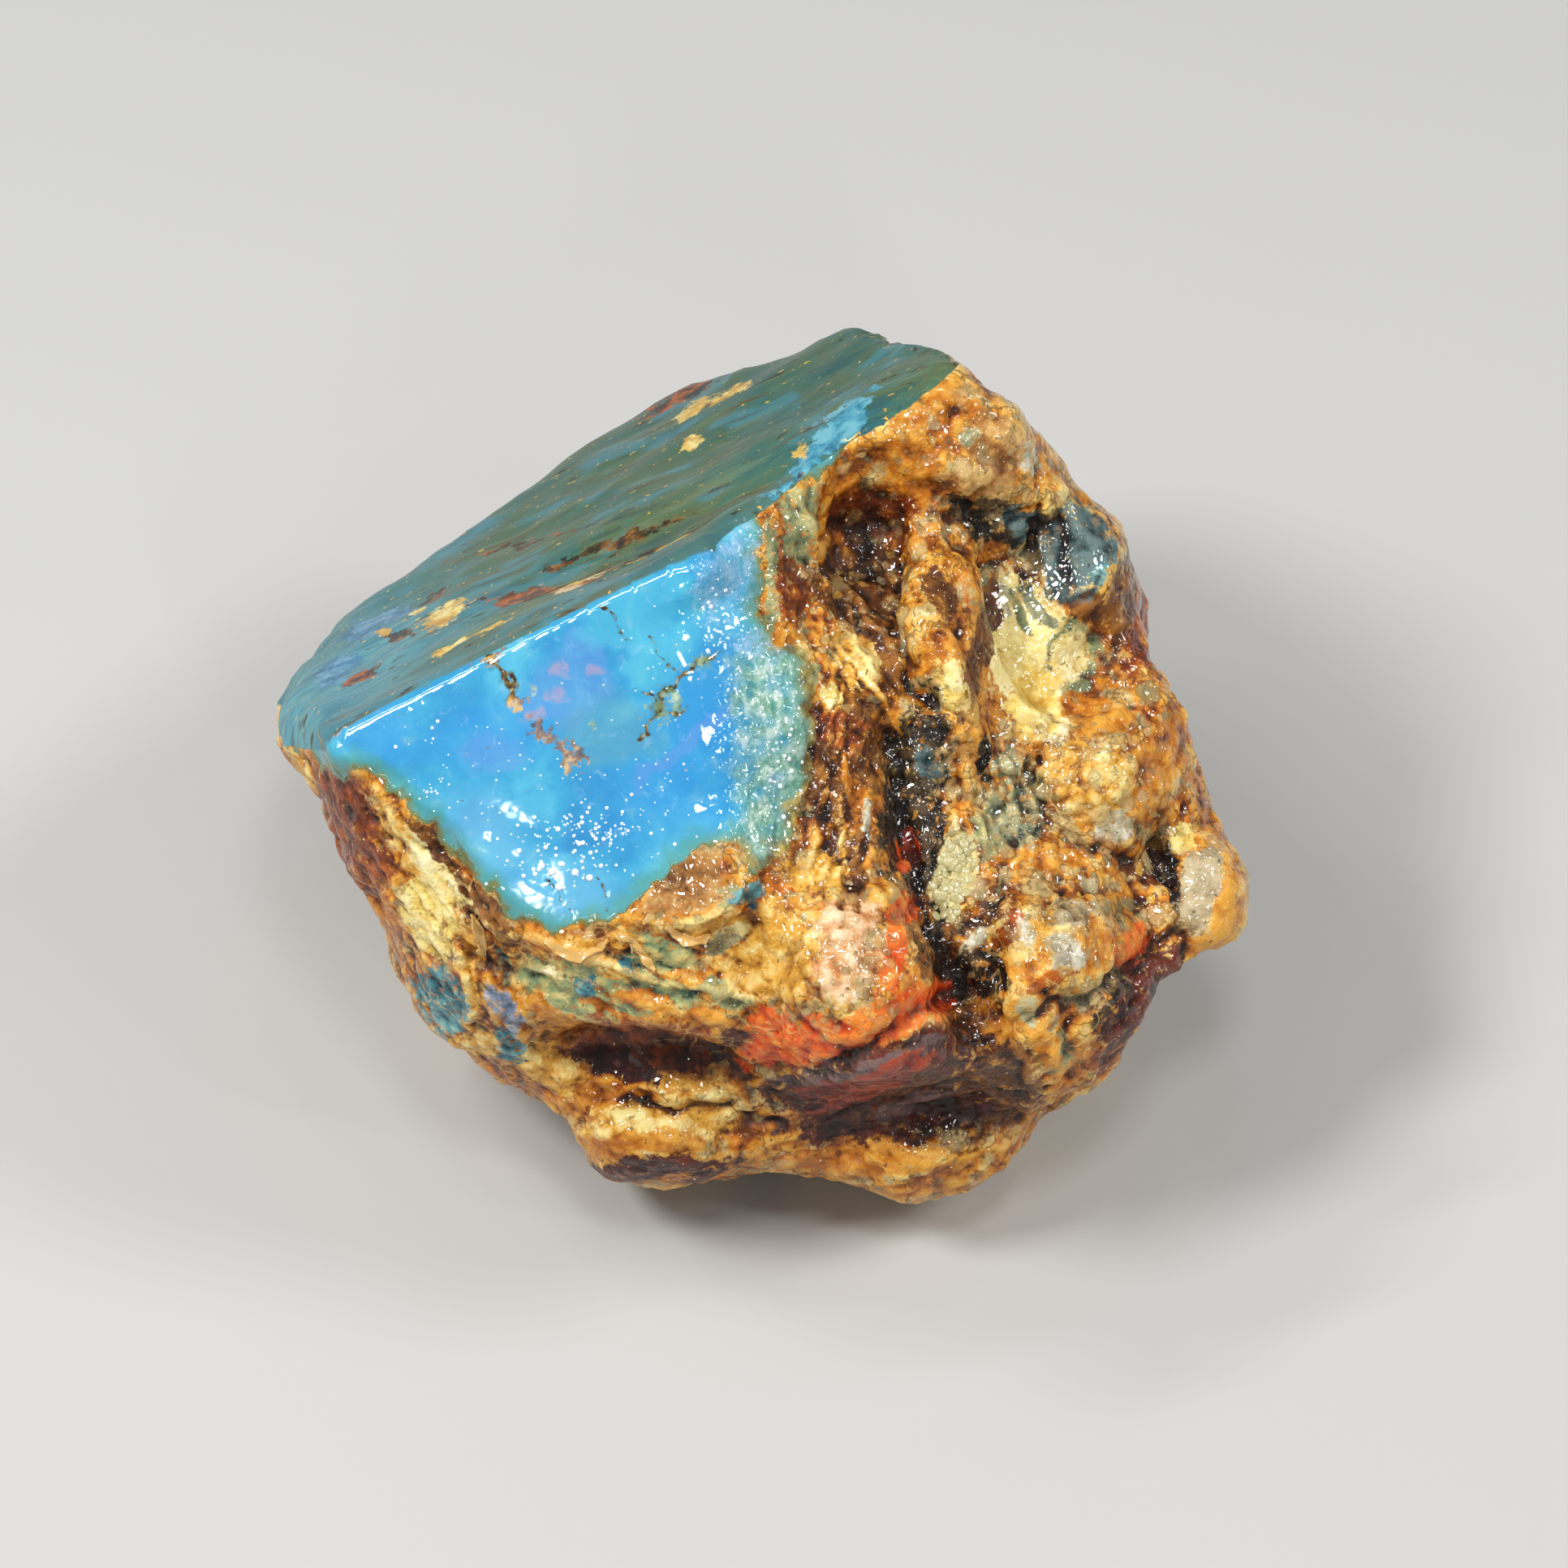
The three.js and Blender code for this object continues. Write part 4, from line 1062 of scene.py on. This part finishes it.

# %% [markdown]
# Each patch of finish has three colours, for its hollows, its middle tone and its crests, so its dark
# hollows are partly painted shade and its pale crests partly painted light. Its border is broken by noise
# of two sizes, and bits of the crust show through it, as on real ironstone. The patches are laid in the
# order of the palette, so a later one covers an earlier one. Over them come the grains again, fine gold
# strings, dark creases that are partly painted shade, brown and gold specks, and pale painted glints.
# %% Patches over the crust
PALETTE = {
    "pond": [(56, 100, 90), (146, 160, 108), (234, 206, 126)],
    "butter": [(212, 182, 102), (254, 236, 158), (255, 247, 204)],
    "green": [(58, 68, 42), (128, 136, 94), (204, 194, 130)],
    # pink: its own colour, with a near-white top that also serves as painted glare
    "pink_and_painted_glare": [(150, 80, 32), (216, 152, 92), (253, 222, 180)],
    "gold": [(140, 80, 14), (228, 168, 62), (255, 236, 156)],
    "amber": [(112, 48, 4), (192, 112, 22), (236, 170, 64)],
    "brown": [(26, 11, 3), (88, 46, 14), (160, 102, 40)],
    "rust": [(40, 13, 3), (112, 46, 10), (190, 98, 26)],
    # maroon: its own colour, kept dark partly as painted shade on the underside
    "maroon_and_painted_shade": [(18, 7, 5), (58, 20, 13), (112, 46, 30)],
    "cream": [(170, 136, 60), (240, 218, 142), (255, 246, 200)],
    "yellow": [(200, 150, 50), (246, 214, 112), (255, 242, 174)],
    "teal": [(14, 44, 48), (54, 116, 128), (126, 188, 190)],
    "lilac": [(48, 54, 74), (104, 120, 144), (178, 184, 200)],
    "grey_and_painted_glint": [(96, 88, 60), (180, 172, 136), (240, 234, 212)],
    "black": [(5, 4, 3), (24, 18, 11), (92, 72, 46)],
    "red": [(140, 26, 2), (222, 78, 10), (250, 142, 52)],
    "sky": [(52, 122, 152), (86, 166, 192), (124, 194, 210)],
    "tan": [(94, 52, 16), (170, 114, 54), (230, 184, 112)],
    "sage": [(58, 72, 58), (134, 138, 104), (206, 198, 150)],
    "smoky_and_painted_glint": [(96, 74, 42), (144, 124, 88), (202, 184, 146)],
    "ink": [(6, 12, 14), (32, 52, 55), (102, 124, 122)],
    "plum": [(26, 12, 12), (74, 50, 48), (132, 102, 98)],
    "brick": [(58, 14, 8), (128, 40, 22), (188, 78, 48)],
}
# patch tone follows crests and hollows: partly painted light and painted shade
patch_tone = plus(noise_tone, times(crest_mark, 1.3), times(bulge_mark, 0.10), 0.02)
patch_edge = plus(times(grain(1.0, 4, 0.65, 0.3), 1.5), times(grain(0.35, 3, 0.6), 0.8), -1.15)
show_through = ramp(grain(0.55, 3, 0.6, 0.2), 0.56, 0.66, 1.0, 0.25)
calm_mark = mark("calm")
show_through = maths("MAXIMUM", show_through, times(calm_mark, 0.9))
for name, (low, middle, high) in PALETTE.items():
    patch = colours(patch_tone, (0.28, low), (0.50, middle), (0.76, high))
    share = ramp(plus(mark(name), patch_edge), 0.36, 0.64)
    body = lay(body, share, show_through, patch)
dark = maths("MAXIMUM", mark("ink"), maths("MAXIMUM", mark("maroon_and_painted_shade"), mark("black")))
in_bunch = times(pebbly_mark, plus(1.0, times(dark, -1.0)))
for inside, halo, silica in grain_marks:
    body = mix(times(halo, in_bunch, 0.35), body, shade(104, 54, 14))
    body = mix(times(inside, in_bunch, 0.40), body, silica)
string_level = maths("ABSOLUTE", plus(grain(1.8, 2, 0.5), -0.5))
string_share = times(ramp(string_level, 0.022, 0.008), ramp(mark("strings"), 0.1, 0.5))
string_gold = colours(quick, (0.40, (186, 112, 28)), (0.58, (250, 218, 140)))
body = lay(body, string_share, 0.42, string_gold)
# creases darkened: partly the brown oxide they keep, partly painted shade
crease = ramp(crest_mark, -0.05, -0.20)
body = lay(body, crease, 0.75, (34, 15, 5))
brown_specks = ramp(grain(0.34, 2, 0.5), 0.66, 0.72)
body = lay(body, brown_specks, 0.6, (40, 24, 12))
gold_specks = ramp(grain(0.26, 2, 0.5, stretch=(1, 1, 1.1)), 0.72, 0.76)
body = lay(body, gold_specks, 0.7, (255, 214, 110))
# painted glints: pale specks in the colour that stand in for tiny highlights on the wet crust
glint_cells = voronoi(0.6, PLACE)
painted_glint = times(ramp(glint_cells["Distance"], 0.13, 0.07), ramp(parts(glint_cells["Color"])[0], 0.66, 0.70))
painted_glint = times(painted_glint, plus(1.0, times(calm_mark, -0.9)))
body = lay(body, painted_glint, 0.85, (255, 236, 188))
print("patches laid:", len(PALETTE))

# %% [markdown]
# The opal is clear blue in the window, with clouds of deeper blue, violet and aqua. The facet to its
# right is mottled and beady, and its palest spots are partly painted glints. Towards its border the opal
# turns green and then olive, where iron has soaked in. Cracks, brown dirt, green moss, pink blush and
# white frost come last.
# %% Opal
cloud = grain(4.0, 3, 0.5, 0.5)
wisp = grain(1.1, 3, 0.55)
wisp_edge = plus(times(wisp, 0.9), -0.45)
opal = colours(
    plus(times(cloud, 0.7), times(wisp, 0.3)),
    (0.34, (36, 130, 188)),
    (0.50, (52, 156, 200)),
    (0.66, (88, 184, 212)),
)
opal = lay(opal, mark("deep"), 0.5, (42, 140, 210))
violet, aqua = [ramp(plus(mark(name), wisp_edge), 0.3, 0.8) for name in ("violet", "aqua")]
opal = lay(opal, violet, 0.35, (104, 140, 212))
opal = lay(opal, aqua, 0.5, (76, 180, 206))
opal = lay(opal, mark("pale"), 0.45, (122, 192, 222))
opal = lay(opal, ramp(plus(mark("dusk"), wisp_edge), 0.3, 0.9), 0.5, (84, 146, 170))
veil = ramp(grain(0.7, 4, 0.65, 0.8), 0.56, 0.74)
opal = lay(opal, veil, 0.22, (168, 214, 236))
gel_noise = grain(0.9, 4, 0.65, 0.4, stretch=(1.8, 1.0, 0.6))
gel_cells = times(voronoi(0.8, bent_place)["Distance"], -0.2)
gel_tone = plus(gel_noise, gel_cells, times(tiny, 0.4), -0.08)
# the palest stop of the mottle is partly painted glints
facet_mottle_and_glints = colours(
    gel_tone,
    (0.22, (40, 92, 84)),
    (0.34, (84, 138, 114)),
    (0.46, (126, 164, 124)),
    (0.56, (156, 190, 160)),
    (0.72, (226, 234, 212)),
)
facet_mark = mark("facet")
facet_share = ramp(plus(facet_mark, times(wisp_edge, 2.2)), 0.15, 1.25)
opal = lay(opal, facet_share, 0.85, facet_mottle_and_glints)
rim = plus(mark("opal_in"), wisp_edge, swing(tiny, 0.4))
opal = lay(opal, ramp(rim, 1.3, 0.35), 0.75, (84, 156, 140))
opal = lay(opal, ramp(rim, 0.46, 0.12), 0.9, (116, 116, 44))
soaked = times(ramp(plus(rim, times(wisp_edge, 0.8)), 0.95, 0.25), facet_mark)
iron = colours(quick, (0.38, (104, 76, 22)), (0.50, (150, 132, 62)), (0.62, (206, 178, 96)))
opal = lay(opal, soaked, 0.85, iron)
crack_edge = plus(mark("crack"), swing(quick, 2.4), swing(tiny, 2.4))
crack_tone = plus(times(quick, 0.5), times(tiny, 0.5))
crack_colour = colours(crack_tone, (0.40, (34, 20, 8)), (0.52, (112, 88, 44)), (0.62, (206, 186, 120)))
opal = lay(opal, ramp(crack_edge, 2.2, 1.0), 0.5, (60, 120, 130))
opal = mix(ramp(crack_edge, 1.2, 0.6), opal, crack_colour)
dirt = ramp(plus(mark("dirt"), swing(grain(0.34, 3, 0.65), 3.4)), 0.62, 0.95)
dirt_colour = colours(quick, (0.36, (76, 44, 14)), (0.50, (150, 104, 44)), (0.62, (224, 180, 96)))
opal = lay(opal, dirt, 0.8, dirt_colour)
blush = ramp(plus(mark("blush"), swing(grain(0.4, 3, 0.6), 2.6)), 0.3, 1.2)
opal = lay(opal, blush, 0.40, (196, 152, 156))
olive = ramp(plus(mark("olive"), swing(grain(0.34, 4, 0.7), 3.6)), 0.55, 1.1)
moss_colour = colours(quick, (0.38, (84, 104, 66)), (0.52, (140, 168, 120)), (0.64, (206, 212, 160)))
opal = lay(opal, olive, 0.75, moss_colour)
frost = ramp(plus(mark("frost"), swing(grain(0.5, 4, 0.7, 0.3), 3.6)), 0.5, 1.5)
opal = lay(opal, frost, 0.42, (186, 210, 240))
body = mix(ramp(rim, 0.02, 0.14), body, opal)
print("opal laid")

# %% [markdown]
# The long top cut is greener, and streaked along its length with brown and gold. The streaks read the
# place on the cut, so they run with the saw. Its left end and a few pools are pale blue, and some
# finishes lie on it in patches, gold and lilac in colours of their own.
# %% Top cut
streak = grain(1.0, 4, 0.65, 0.4, CUT_PLACE, (0.16, 0.8, 1.0))
fleck = grain(0.8, 3, 0.6, 0.5, CUT_PLACE, (0.35, 1.0, 1.0))
wide = grain(5.0, 3, 0.6, 0.5, CUT_PLACE, (0.6, 1.0, 1.0))
slope = colours(
    plus(times(wide, 0.8), times(streak, 0.2)),
    (0.36, (46, 98, 104)),
    (0.46, (70, 114, 98)),
    (0.53, (92, 110, 74)),
    (0.62, (78, 124, 112)),
)
slope = mix(ramp(streak, 0.44, 0.36, 0.0, 0.45), slope, shade(38, 76, 84))
slope = mix(ramp(streak, 0.54, 0.62, 0.0, 0.35), slope, shade(142, 158, 124))
along_cut, down_cut, _ = parts(CUT_PLACE, "ShaderNodeSeparateXYZ")
left_part = ramp(plus(along_cut, swing(wide, 16)), -8.0, -15.0)
pale_blue = colours(fleck, (0.40, (70, 142, 166)), (0.60, (112, 178, 190)))
slope = lay(slope, left_part, 0.75, pale_blue)
edge_part = ramp(plus(down_cut, swing(streak, 8)), 5.0, 0.5)
slope = lay(slope, edge_part, 0.5, (78, 112, 118))
high_part = ramp(plus(down_cut, swing(streak, 10)), 9.0, 15.0)
slope = lay(slope, high_part, 0.4, (50, 92, 78))
pool = ramp(grain(3.2, 2, 0.6, 0.0, CUT_PLACE, (0.6, 1.0, 1.0)), 0.52, 0.62)
slope = lay(slope, pool, 0.45, (74, 146, 166))
brown_pool = ramp(plus(times(fleck, 0.6), times(streak, 0.4)), 0.54, 0.62)
slope = lay(slope, brown_pool, 0.45, (96, 84, 52))
brown_streaks = ramp(grain(0.9, 3, 0.6, 0.3, CUT_PLACE, (0.12, 1.0, 1.0)), 0.60, 0.66)
slope = lay(slope, brown_streaks, 0.6, (92, 68, 30))
slope = lay(slope, ramp(fleck, 0.64, 0.70), 0.7, (34, 26, 12))
gold_grain = grain(0.40, 3, 0.6, 0.3, CUT_PLACE, (0.7, 1.0, 1.0))
slope = mix(ramp(gold_grain, 0.66, 0.69), slope, shade(226, 178, 76))
ON_CUT = PALETTE | {
    "gold": [(206, 150, 52), (240, 196, 92), (255, 236, 156)],
    "lilac": [(58, 112, 146), (88, 142, 178), (128, 170, 200)],
}
for name in TOP_PATCHES:
    low, middle, high = ON_CUT[name]
    patch = colours(quick, (0.38, low), (0.50, middle), (0.62, high))
    share = ramp(plus(mark(name), times(patch_edge, 1.3)), 0.42, 0.66)
    slope = lay(slope, share, 0.85, patch)
top_mark = mark("on_top")
body = mix(ramp(plus(top_mark, swing(quick, 0.3)), 0.35, 0.6), body, slope)
wire(body, surface.inputs["Base Color"])
print("top cut laid")

# %% [markdown]
# The stone is wet. Water lies on it as a clear coat that is nearly as smooth as glass. The film rounds
# off the finest roughness, so it faces the way of its neighbourhood and has only smooth, bead-like
# bumps, while the body under it keeps finer bumps of its own. Both are nearly flat on the polished cuts
# and gentler on the calm places.
# %% Wet coat
FILM_BUMP = 0.45
BODY_BUMP = 0.12
surface.inputs["Roughness"].default_value = 0.5
surface.inputs["Specular IOR Level"].default_value = 0.15
surface.inputs["Coat Roughness"].default_value = 0.035
surface.inputs["Coat IOR"].default_value = 1.48
top_wetness = ramp(top_mark, 0.4, 0.6, 1.0, 0.25)
under_wetness = ramp(mark("under"), 0.2, 1.0, 1.0, 0.45)
wire(maths("MINIMUM", top_wetness, under_wetness), surface.inputs["Coat Weight"])
polish = plus(ramp(mark("opal_in"), 0.0, 0.4), top_mark)
bumpiness = ramp(polish, 0.3, 0.8, 1.0, 0.004)
bumpiness = times(bumpiness, plus(1.0, times(calm_mark, -0.65)))
# less bumpy where the pink patches carry a painted glare
bumpiness = times(bumpiness, plus(1.0, times(mark("pink_and_painted_glare"), -0.5)))
bumpiness = maths("MAXIMUM", bumpiness, times(ramp(facet_mark, 0.02, 0.6), 0.8))
bumpiness = maths("MAXIMUM", bumpiness, times(mark("frost"), 0.9))
bead_distance = voronoi(0.45, PLACE)["Distance"]
film = plus(times(bead_distance, bead_distance, -0.30), times(grain(0.75, 1, 0.4), 0.75))
film_bump = node("ShaderNodeBump")
film_bump.inputs["Distance"].default_value = FILM_BUMP * MM
wire(times(film, bumpiness), film_bump.inputs["Height"])
film_turned = node(
    "ShaderNodeVectorTransform", vector_type="NORMAL", convert_from="OBJECT", convert_to="WORLD"
)
wire(vector_mark("film_facing"), film_turned.inputs[0])
film_blend = node("ShaderNodeMix", data_type="VECTOR")
wire(times(ramp(polish, 0.1, 0.5, 1.0, 0.0), 0.78), film_blend.inputs[MIX_SHARE])
wire(node("ShaderNodeNewGeometry").outputs["Normal"], film_blend.inputs[VECTOR_BELOW])
wire(film_turned.outputs["Vector"], film_blend.inputs[VECTOR_ABOVE])
film_length = node("ShaderNodeVectorMath", operation="NORMALIZE")
wire(film_blend.outputs[VECTOR_RESULT], film_length.inputs[0])
wire(film_length.outputs["Vector"], film_bump.inputs["Normal"])
wire(film_bump.outputs["Normal"], surface.inputs["Coat Normal"])
bump = node("ShaderNodeBump")
bump.inputs["Distance"].default_value = BODY_BUMP * MM
wire(times(grain(0.3, 2, 0.6), bumpiness), bump.inputs["Height"])
wire(bump.outputs["Normal"], surface.inputs["Normal"])
stone.data.materials.clear()
stone.data.materials.append(finish)
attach(stone, "root")
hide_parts("rough_opal_stone")
print("nodes in the material:", len(tree.nodes))

# %% [markdown]
# ## Drops on the window
# Drops of water stand on the polished window. One drop is modelled: a small ball whose lower part is cut
# away and closed. Each copy gets its own mesh, its own size, and the place and slant of the stone under
# it, which is found by a ray shot at the stone, and it is pressed a little flatter than a ball. Then they
# are joined. They are painted near white, a painted highlight for the glint each drop would catch.
# %% Find the surface under a place
bpy.context.view_layer.update()


def land(x, y):
    """The surface of the stone at (x, y) in show mm, and its facing there, both in metres."""
    start = Vector(from_show(np.array([x, y, 60.0])))
    hit, place, normal, _ = stone.ray_cast(start, Vector(-OUT))
    return (place, normal) if hit else (None, None)


# %% One material for every small piece
def speckled(name, scale, detail, low, high, roughness, coat_roughness):
    """A wet material whose colour drifts with noise. Low and high are (position, screen colour)."""
    made = bpy.data.materials.new(name)
    made.use_nodes = True
    nodes, links = made.node_tree.nodes, made.node_tree.links
    drifting = nodes.new("ShaderNodeTexNoise")
    drifting.inputs["Scale"].default_value = scale
    drifting.inputs["Detail"].default_value = detail
    strip = nodes.new("ShaderNodeValToRGB")
    for element, (position, screen) in zip(strip.color_ramp.elements, (low, high)):
        element.position = position
        element.color = shade(*screen)
    skin = nodes["Principled BSDF"]
    links.new(drifting.outputs["Fac"], strip.inputs["Fac"])
    links.new(strip.outputs["Color"], skin.inputs["Base Color"])
    skin.inputs["Roughness"].default_value = roughness
    skin.inputs["Coat Weight"].default_value = 1.0
    skin.inputs["Coat Roughness"].default_value = coat_roughness
    return made


# %% Finish and copy a small piece
def as_finished(item, material):
    """Put a piece's place in its mesh, then give it its finish and its body."""
    bpy.ops.object.select_all(action="DESELECT")
    item.select_set(True)
    bpy.context.view_layer.objects.active = item
    bpy.ops.object.transform_apply(location=True, rotation=True, scale=True)
    item.data.materials.clear()
    item.data.materials.append(material)
    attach(item, "root")


def scatter(pattern, rows, name):
    """Copy a pattern to each (x, y, size, height) in show mm, then join the copies."""
    copies = []
    for x, y, size, height in rows:
        place, normal = land(x, y)
        if place is None:
            continue
        copy = pattern.copy()
        copy.data = pattern.data.copy()
        bpy.context.scene.collection.objects.link(copy)
        copy.location = place
        copy.rotation_euler = normal.to_track_quat("Z", "Y").to_euler()
        copy.scale = (size * MM, size * MM, height * MM)
        copies.append(copy)
    bpy.data.objects.remove(pattern)
    bpy.ops.object.select_all(action="DESELECT")
    for copy in copies:
        copy.select_set(True)
    bpy.context.view_layer.objects.active = copies[0]
    bpy.ops.object.join()
    joined = bpy.context.object
    joined.name = name
    print(name, "has", len(copies), "copies and", len(joined.data.polygons), "faces")
    return joined


# %% One drop
bpy.ops.object.select_all(action="DESELECT")
bpy.ops.mesh.primitive_uv_sphere_add(segments=10, ring_count=8, radius=1)
drop = bpy.context.object
bpy.ops.object.mode_set(mode="EDIT")
bpy.ops.mesh.select_all(action="SELECT")
bpy.ops.mesh.bisect(plane_co=(0, 0, -0.1), plane_no=(0, 0, 1), use_fill=True, clear_inner=True)
bpy.ops.object.mode_set(mode="OBJECT")
bpy.ops.object.shade_smooth_by_angle(angle=np.radians(50))
print("faces in one drop:", len(drop.data.polygons))

# %% Copy the drop
DROP_FIELDS = [
    ((-8.8, -3.6), (2.6, 1.4), 100, 0.13),
    ((-6.6, -3.0), (2.2, 0.8), 60, 0.10),
    ((-8.6, -5.1), (1.6, 0.7), 20, 0.21),
    ((-4.4, -1.0), (1.6, 1.4), 26, 0.10),
    ((-2.2, 7.4), (0.5, 1.6), 16, 0.14),
    ((1.0, 0.4), (1.0, 3.6), 60, 0.15),
    ((-15.0, 0.8), (1.4, 1.2), 10, 0.10),
    ((-11.6, -5.0), (1.0, 0.9), 12, 0.12),
    ((-10.0, -0.5), (3.6, 2.6), 44, 0.06),
    ((-15.0, -1.2), (1.6, 1.4), 18, 0.07),
    ((-4.0, 4.0), (2.6, 3.0), 26, 0.06),
]
SMALLEST_DROP = 0.04
dice = np.random.default_rng(11)
rows = []
for centre, half, count, largest in DROP_FIELDS:
    for _ in range(count):
        x, y = np.array(centre) + dice.normal(0, 0.6, 2) * np.array(half)
        size = SMALLEST_DROP + (largest - SMALLEST_DROP) * dice.random() ** 2.5
        rows.append((x, y, size, 0.7 * size))
drops = scatter(drop, rows, "water_drops")
# near-white paint on the drops is a painted highlight
water = speckled("white_drops_painted_glint", 900, 2, (0.0, (214, 236, 250)), (1.0, (250, 253, 255)), 0.06, 0.02)
water.node_tree.nodes["Principled BSDF"].inputs["IOR"].default_value = 1.33
as_finished(drops, water)

# %% [markdown]
# ## Silica beads in the furrow
# In the furrow the silica grew as a bunch of cream beads. One bead is a ball of few faces, drawn out a
# little to one side. The copies are pressed flat and sit shoulder to shoulder in staggered rows, inside
# a tall ellipse that leans with the furrow.
# %% Beads
bpy.ops.object.select_all(action="DESELECT")
bpy.ops.mesh.primitive_ico_sphere_add(subdivisions=2, radius=1)
bead_ball = bpy.context.object
bpy.ops.object.mode_set(mode="EDIT")
bpy.ops.mesh.select_all(action="SELECT")
bpy.ops.transform.resize(value=(1.0, 1.18, 0.9))
bpy.ops.object.mode_set(mode="OBJECT")
bpy.ops.object.shade_smooth()
BEAD_STEP = 0.35
BUNCH_X, BUNCH_Y = 8.9, -5.2
BUNCH_HALF_LENGTH, BUNCH_HALF_WIDTH = 2.2, 0.8
BUNCH_LEAN = 0.22
rows = []
for row in range(-7, 8):
    for column in range(-3, 4):
        along = row * BEAD_STEP * 0.88
        across = (column + 0.5 * (row % 2)) * BEAD_STEP
        if (along / BUNCH_HALF_LENGTH) ** 2 + (across / BUNCH_HALF_WIDTH) ** 2 > 1:
            continue
        x = BUNCH_X + across + BUNCH_LEAN * along + dice.normal(0, 0.05)
        y = BUNCH_Y + along - BUNCH_LEAN * across + dice.normal(0, 0.05)
        size = BEAD_STEP * (0.56 + 0.16 * dice.random())
        rows.append((x, y, size, 0.30 * size))
bead_bunch = scatter(bead_ball, rows, "silica_beads")
milk = speckled("silica_bead", 1400, 3, (0.36, (124, 116, 66)), (0.60, (232, 220, 160)), 0.35, 0.04)
as_finished(bead_bunch, milk)

# %% [markdown]
# ## Flakes of ochre
# Below the window the crust peels up in thin curled flakes. Each is a strip of mesh that follows a path
# over the stone, wider and narrower as noise has it, with one edge lifted, and then given a thickness.
# %% Flakes
FLAKES = [
    ("ochre_flake_left", [(-9.6, -8.0), (-8.9, -8.5), (-8.0, -8.7), (-7.2, -8.4), (-6.8, -8.0)], 0.18),
    ("ochre_flake_mid", [(-6.3, -7.7), (-5.6, -8.2), (-5.0, -8.9), (-4.7, -9.4)], 0.22),
    ("ochre_flake_high", [(-4.1, -7.4), (-3.5, -7.9), (-2.9, -8.1), (-2.2, -7.8)], 0.24),
    ("ochre_flake_flank", [(-13.0, -6.9), (-12.6, -7.9), (-12.5, -8.8)], 0.22),
]
ochre = speckled("ochre_flake", 1100, 4, (0.36, (168, 98, 26)), (0.58, (250, 208, 120)), 0.4, 0.05)
STEPS_ALONG = 16
STEPS_ACROSS = 4
FLAKE_THICKNESS = 0.09
FLAKE_LIFT = 0.06
EDGE_LIFT = 0.22
for name, path, half_width in FLAKES:
    bpy.ops.object.select_all(action="DESELECT")
    bpy.ops.mesh.primitive_grid_add(x_subdivisions=STEPS_ALONG, y_subdivisions=STEPS_ACROSS, size=2)
    flake = bpy.context.object
    flake.name = name
    points = np.array(path)
    for vertex in flake.data.vertices:
        share = (vertex.co.x + 1) / 2
        knot = min(int(share * (len(points) - 1)), len(points) - 2)
        rest = share * (len(points) - 1) - knot
        middle = points[knot] * (1 - rest) + points[knot + 1] * rest
        step = points[knot + 1] - points[knot]
        beside = np.array([-step[1], step[0]]) / np.linalg.norm(step)
        ragged_width = 0.6 + 0.9 * abs(noise.noise((share * 5, vertex.co.y * 0.4, half_width * 9)))
        taper = np.sin(np.pi * (0.06 + 0.88 * share)) ** 0.5
        x, y = middle + beside * vertex.co.y * half_width * ragged_width * taper
        place, normal = land(x, y)
        lift = FLAKE_LIFT + EDGE_LIFT * ((1 - vertex.co.y) / 2) ** 2 * taper
        vertex.co = place + normal * (lift * MM)
    thickness = flake.modifiers.new("thickness", "SOLIDIFY")
    thickness.thickness = FLAKE_THICKNESS * MM
    thickness.offset = 0
    bpy.ops.object.modifier_apply(modifier="thickness")
    bpy.ops.object.mode_set(mode="EDIT")
    bpy.ops.mesh.select_all(action="SELECT")
    bpy.ops.mesh.normals_make_consistent(inside=False)
    bpy.ops.object.mode_set(mode="OBJECT")
    bpy.ops.object.shade_smooth_by_angle(angle=np.radians(40))
    as_finished(flake, ochre)
    print(name, "has", len(flake.data.polygons), "faces")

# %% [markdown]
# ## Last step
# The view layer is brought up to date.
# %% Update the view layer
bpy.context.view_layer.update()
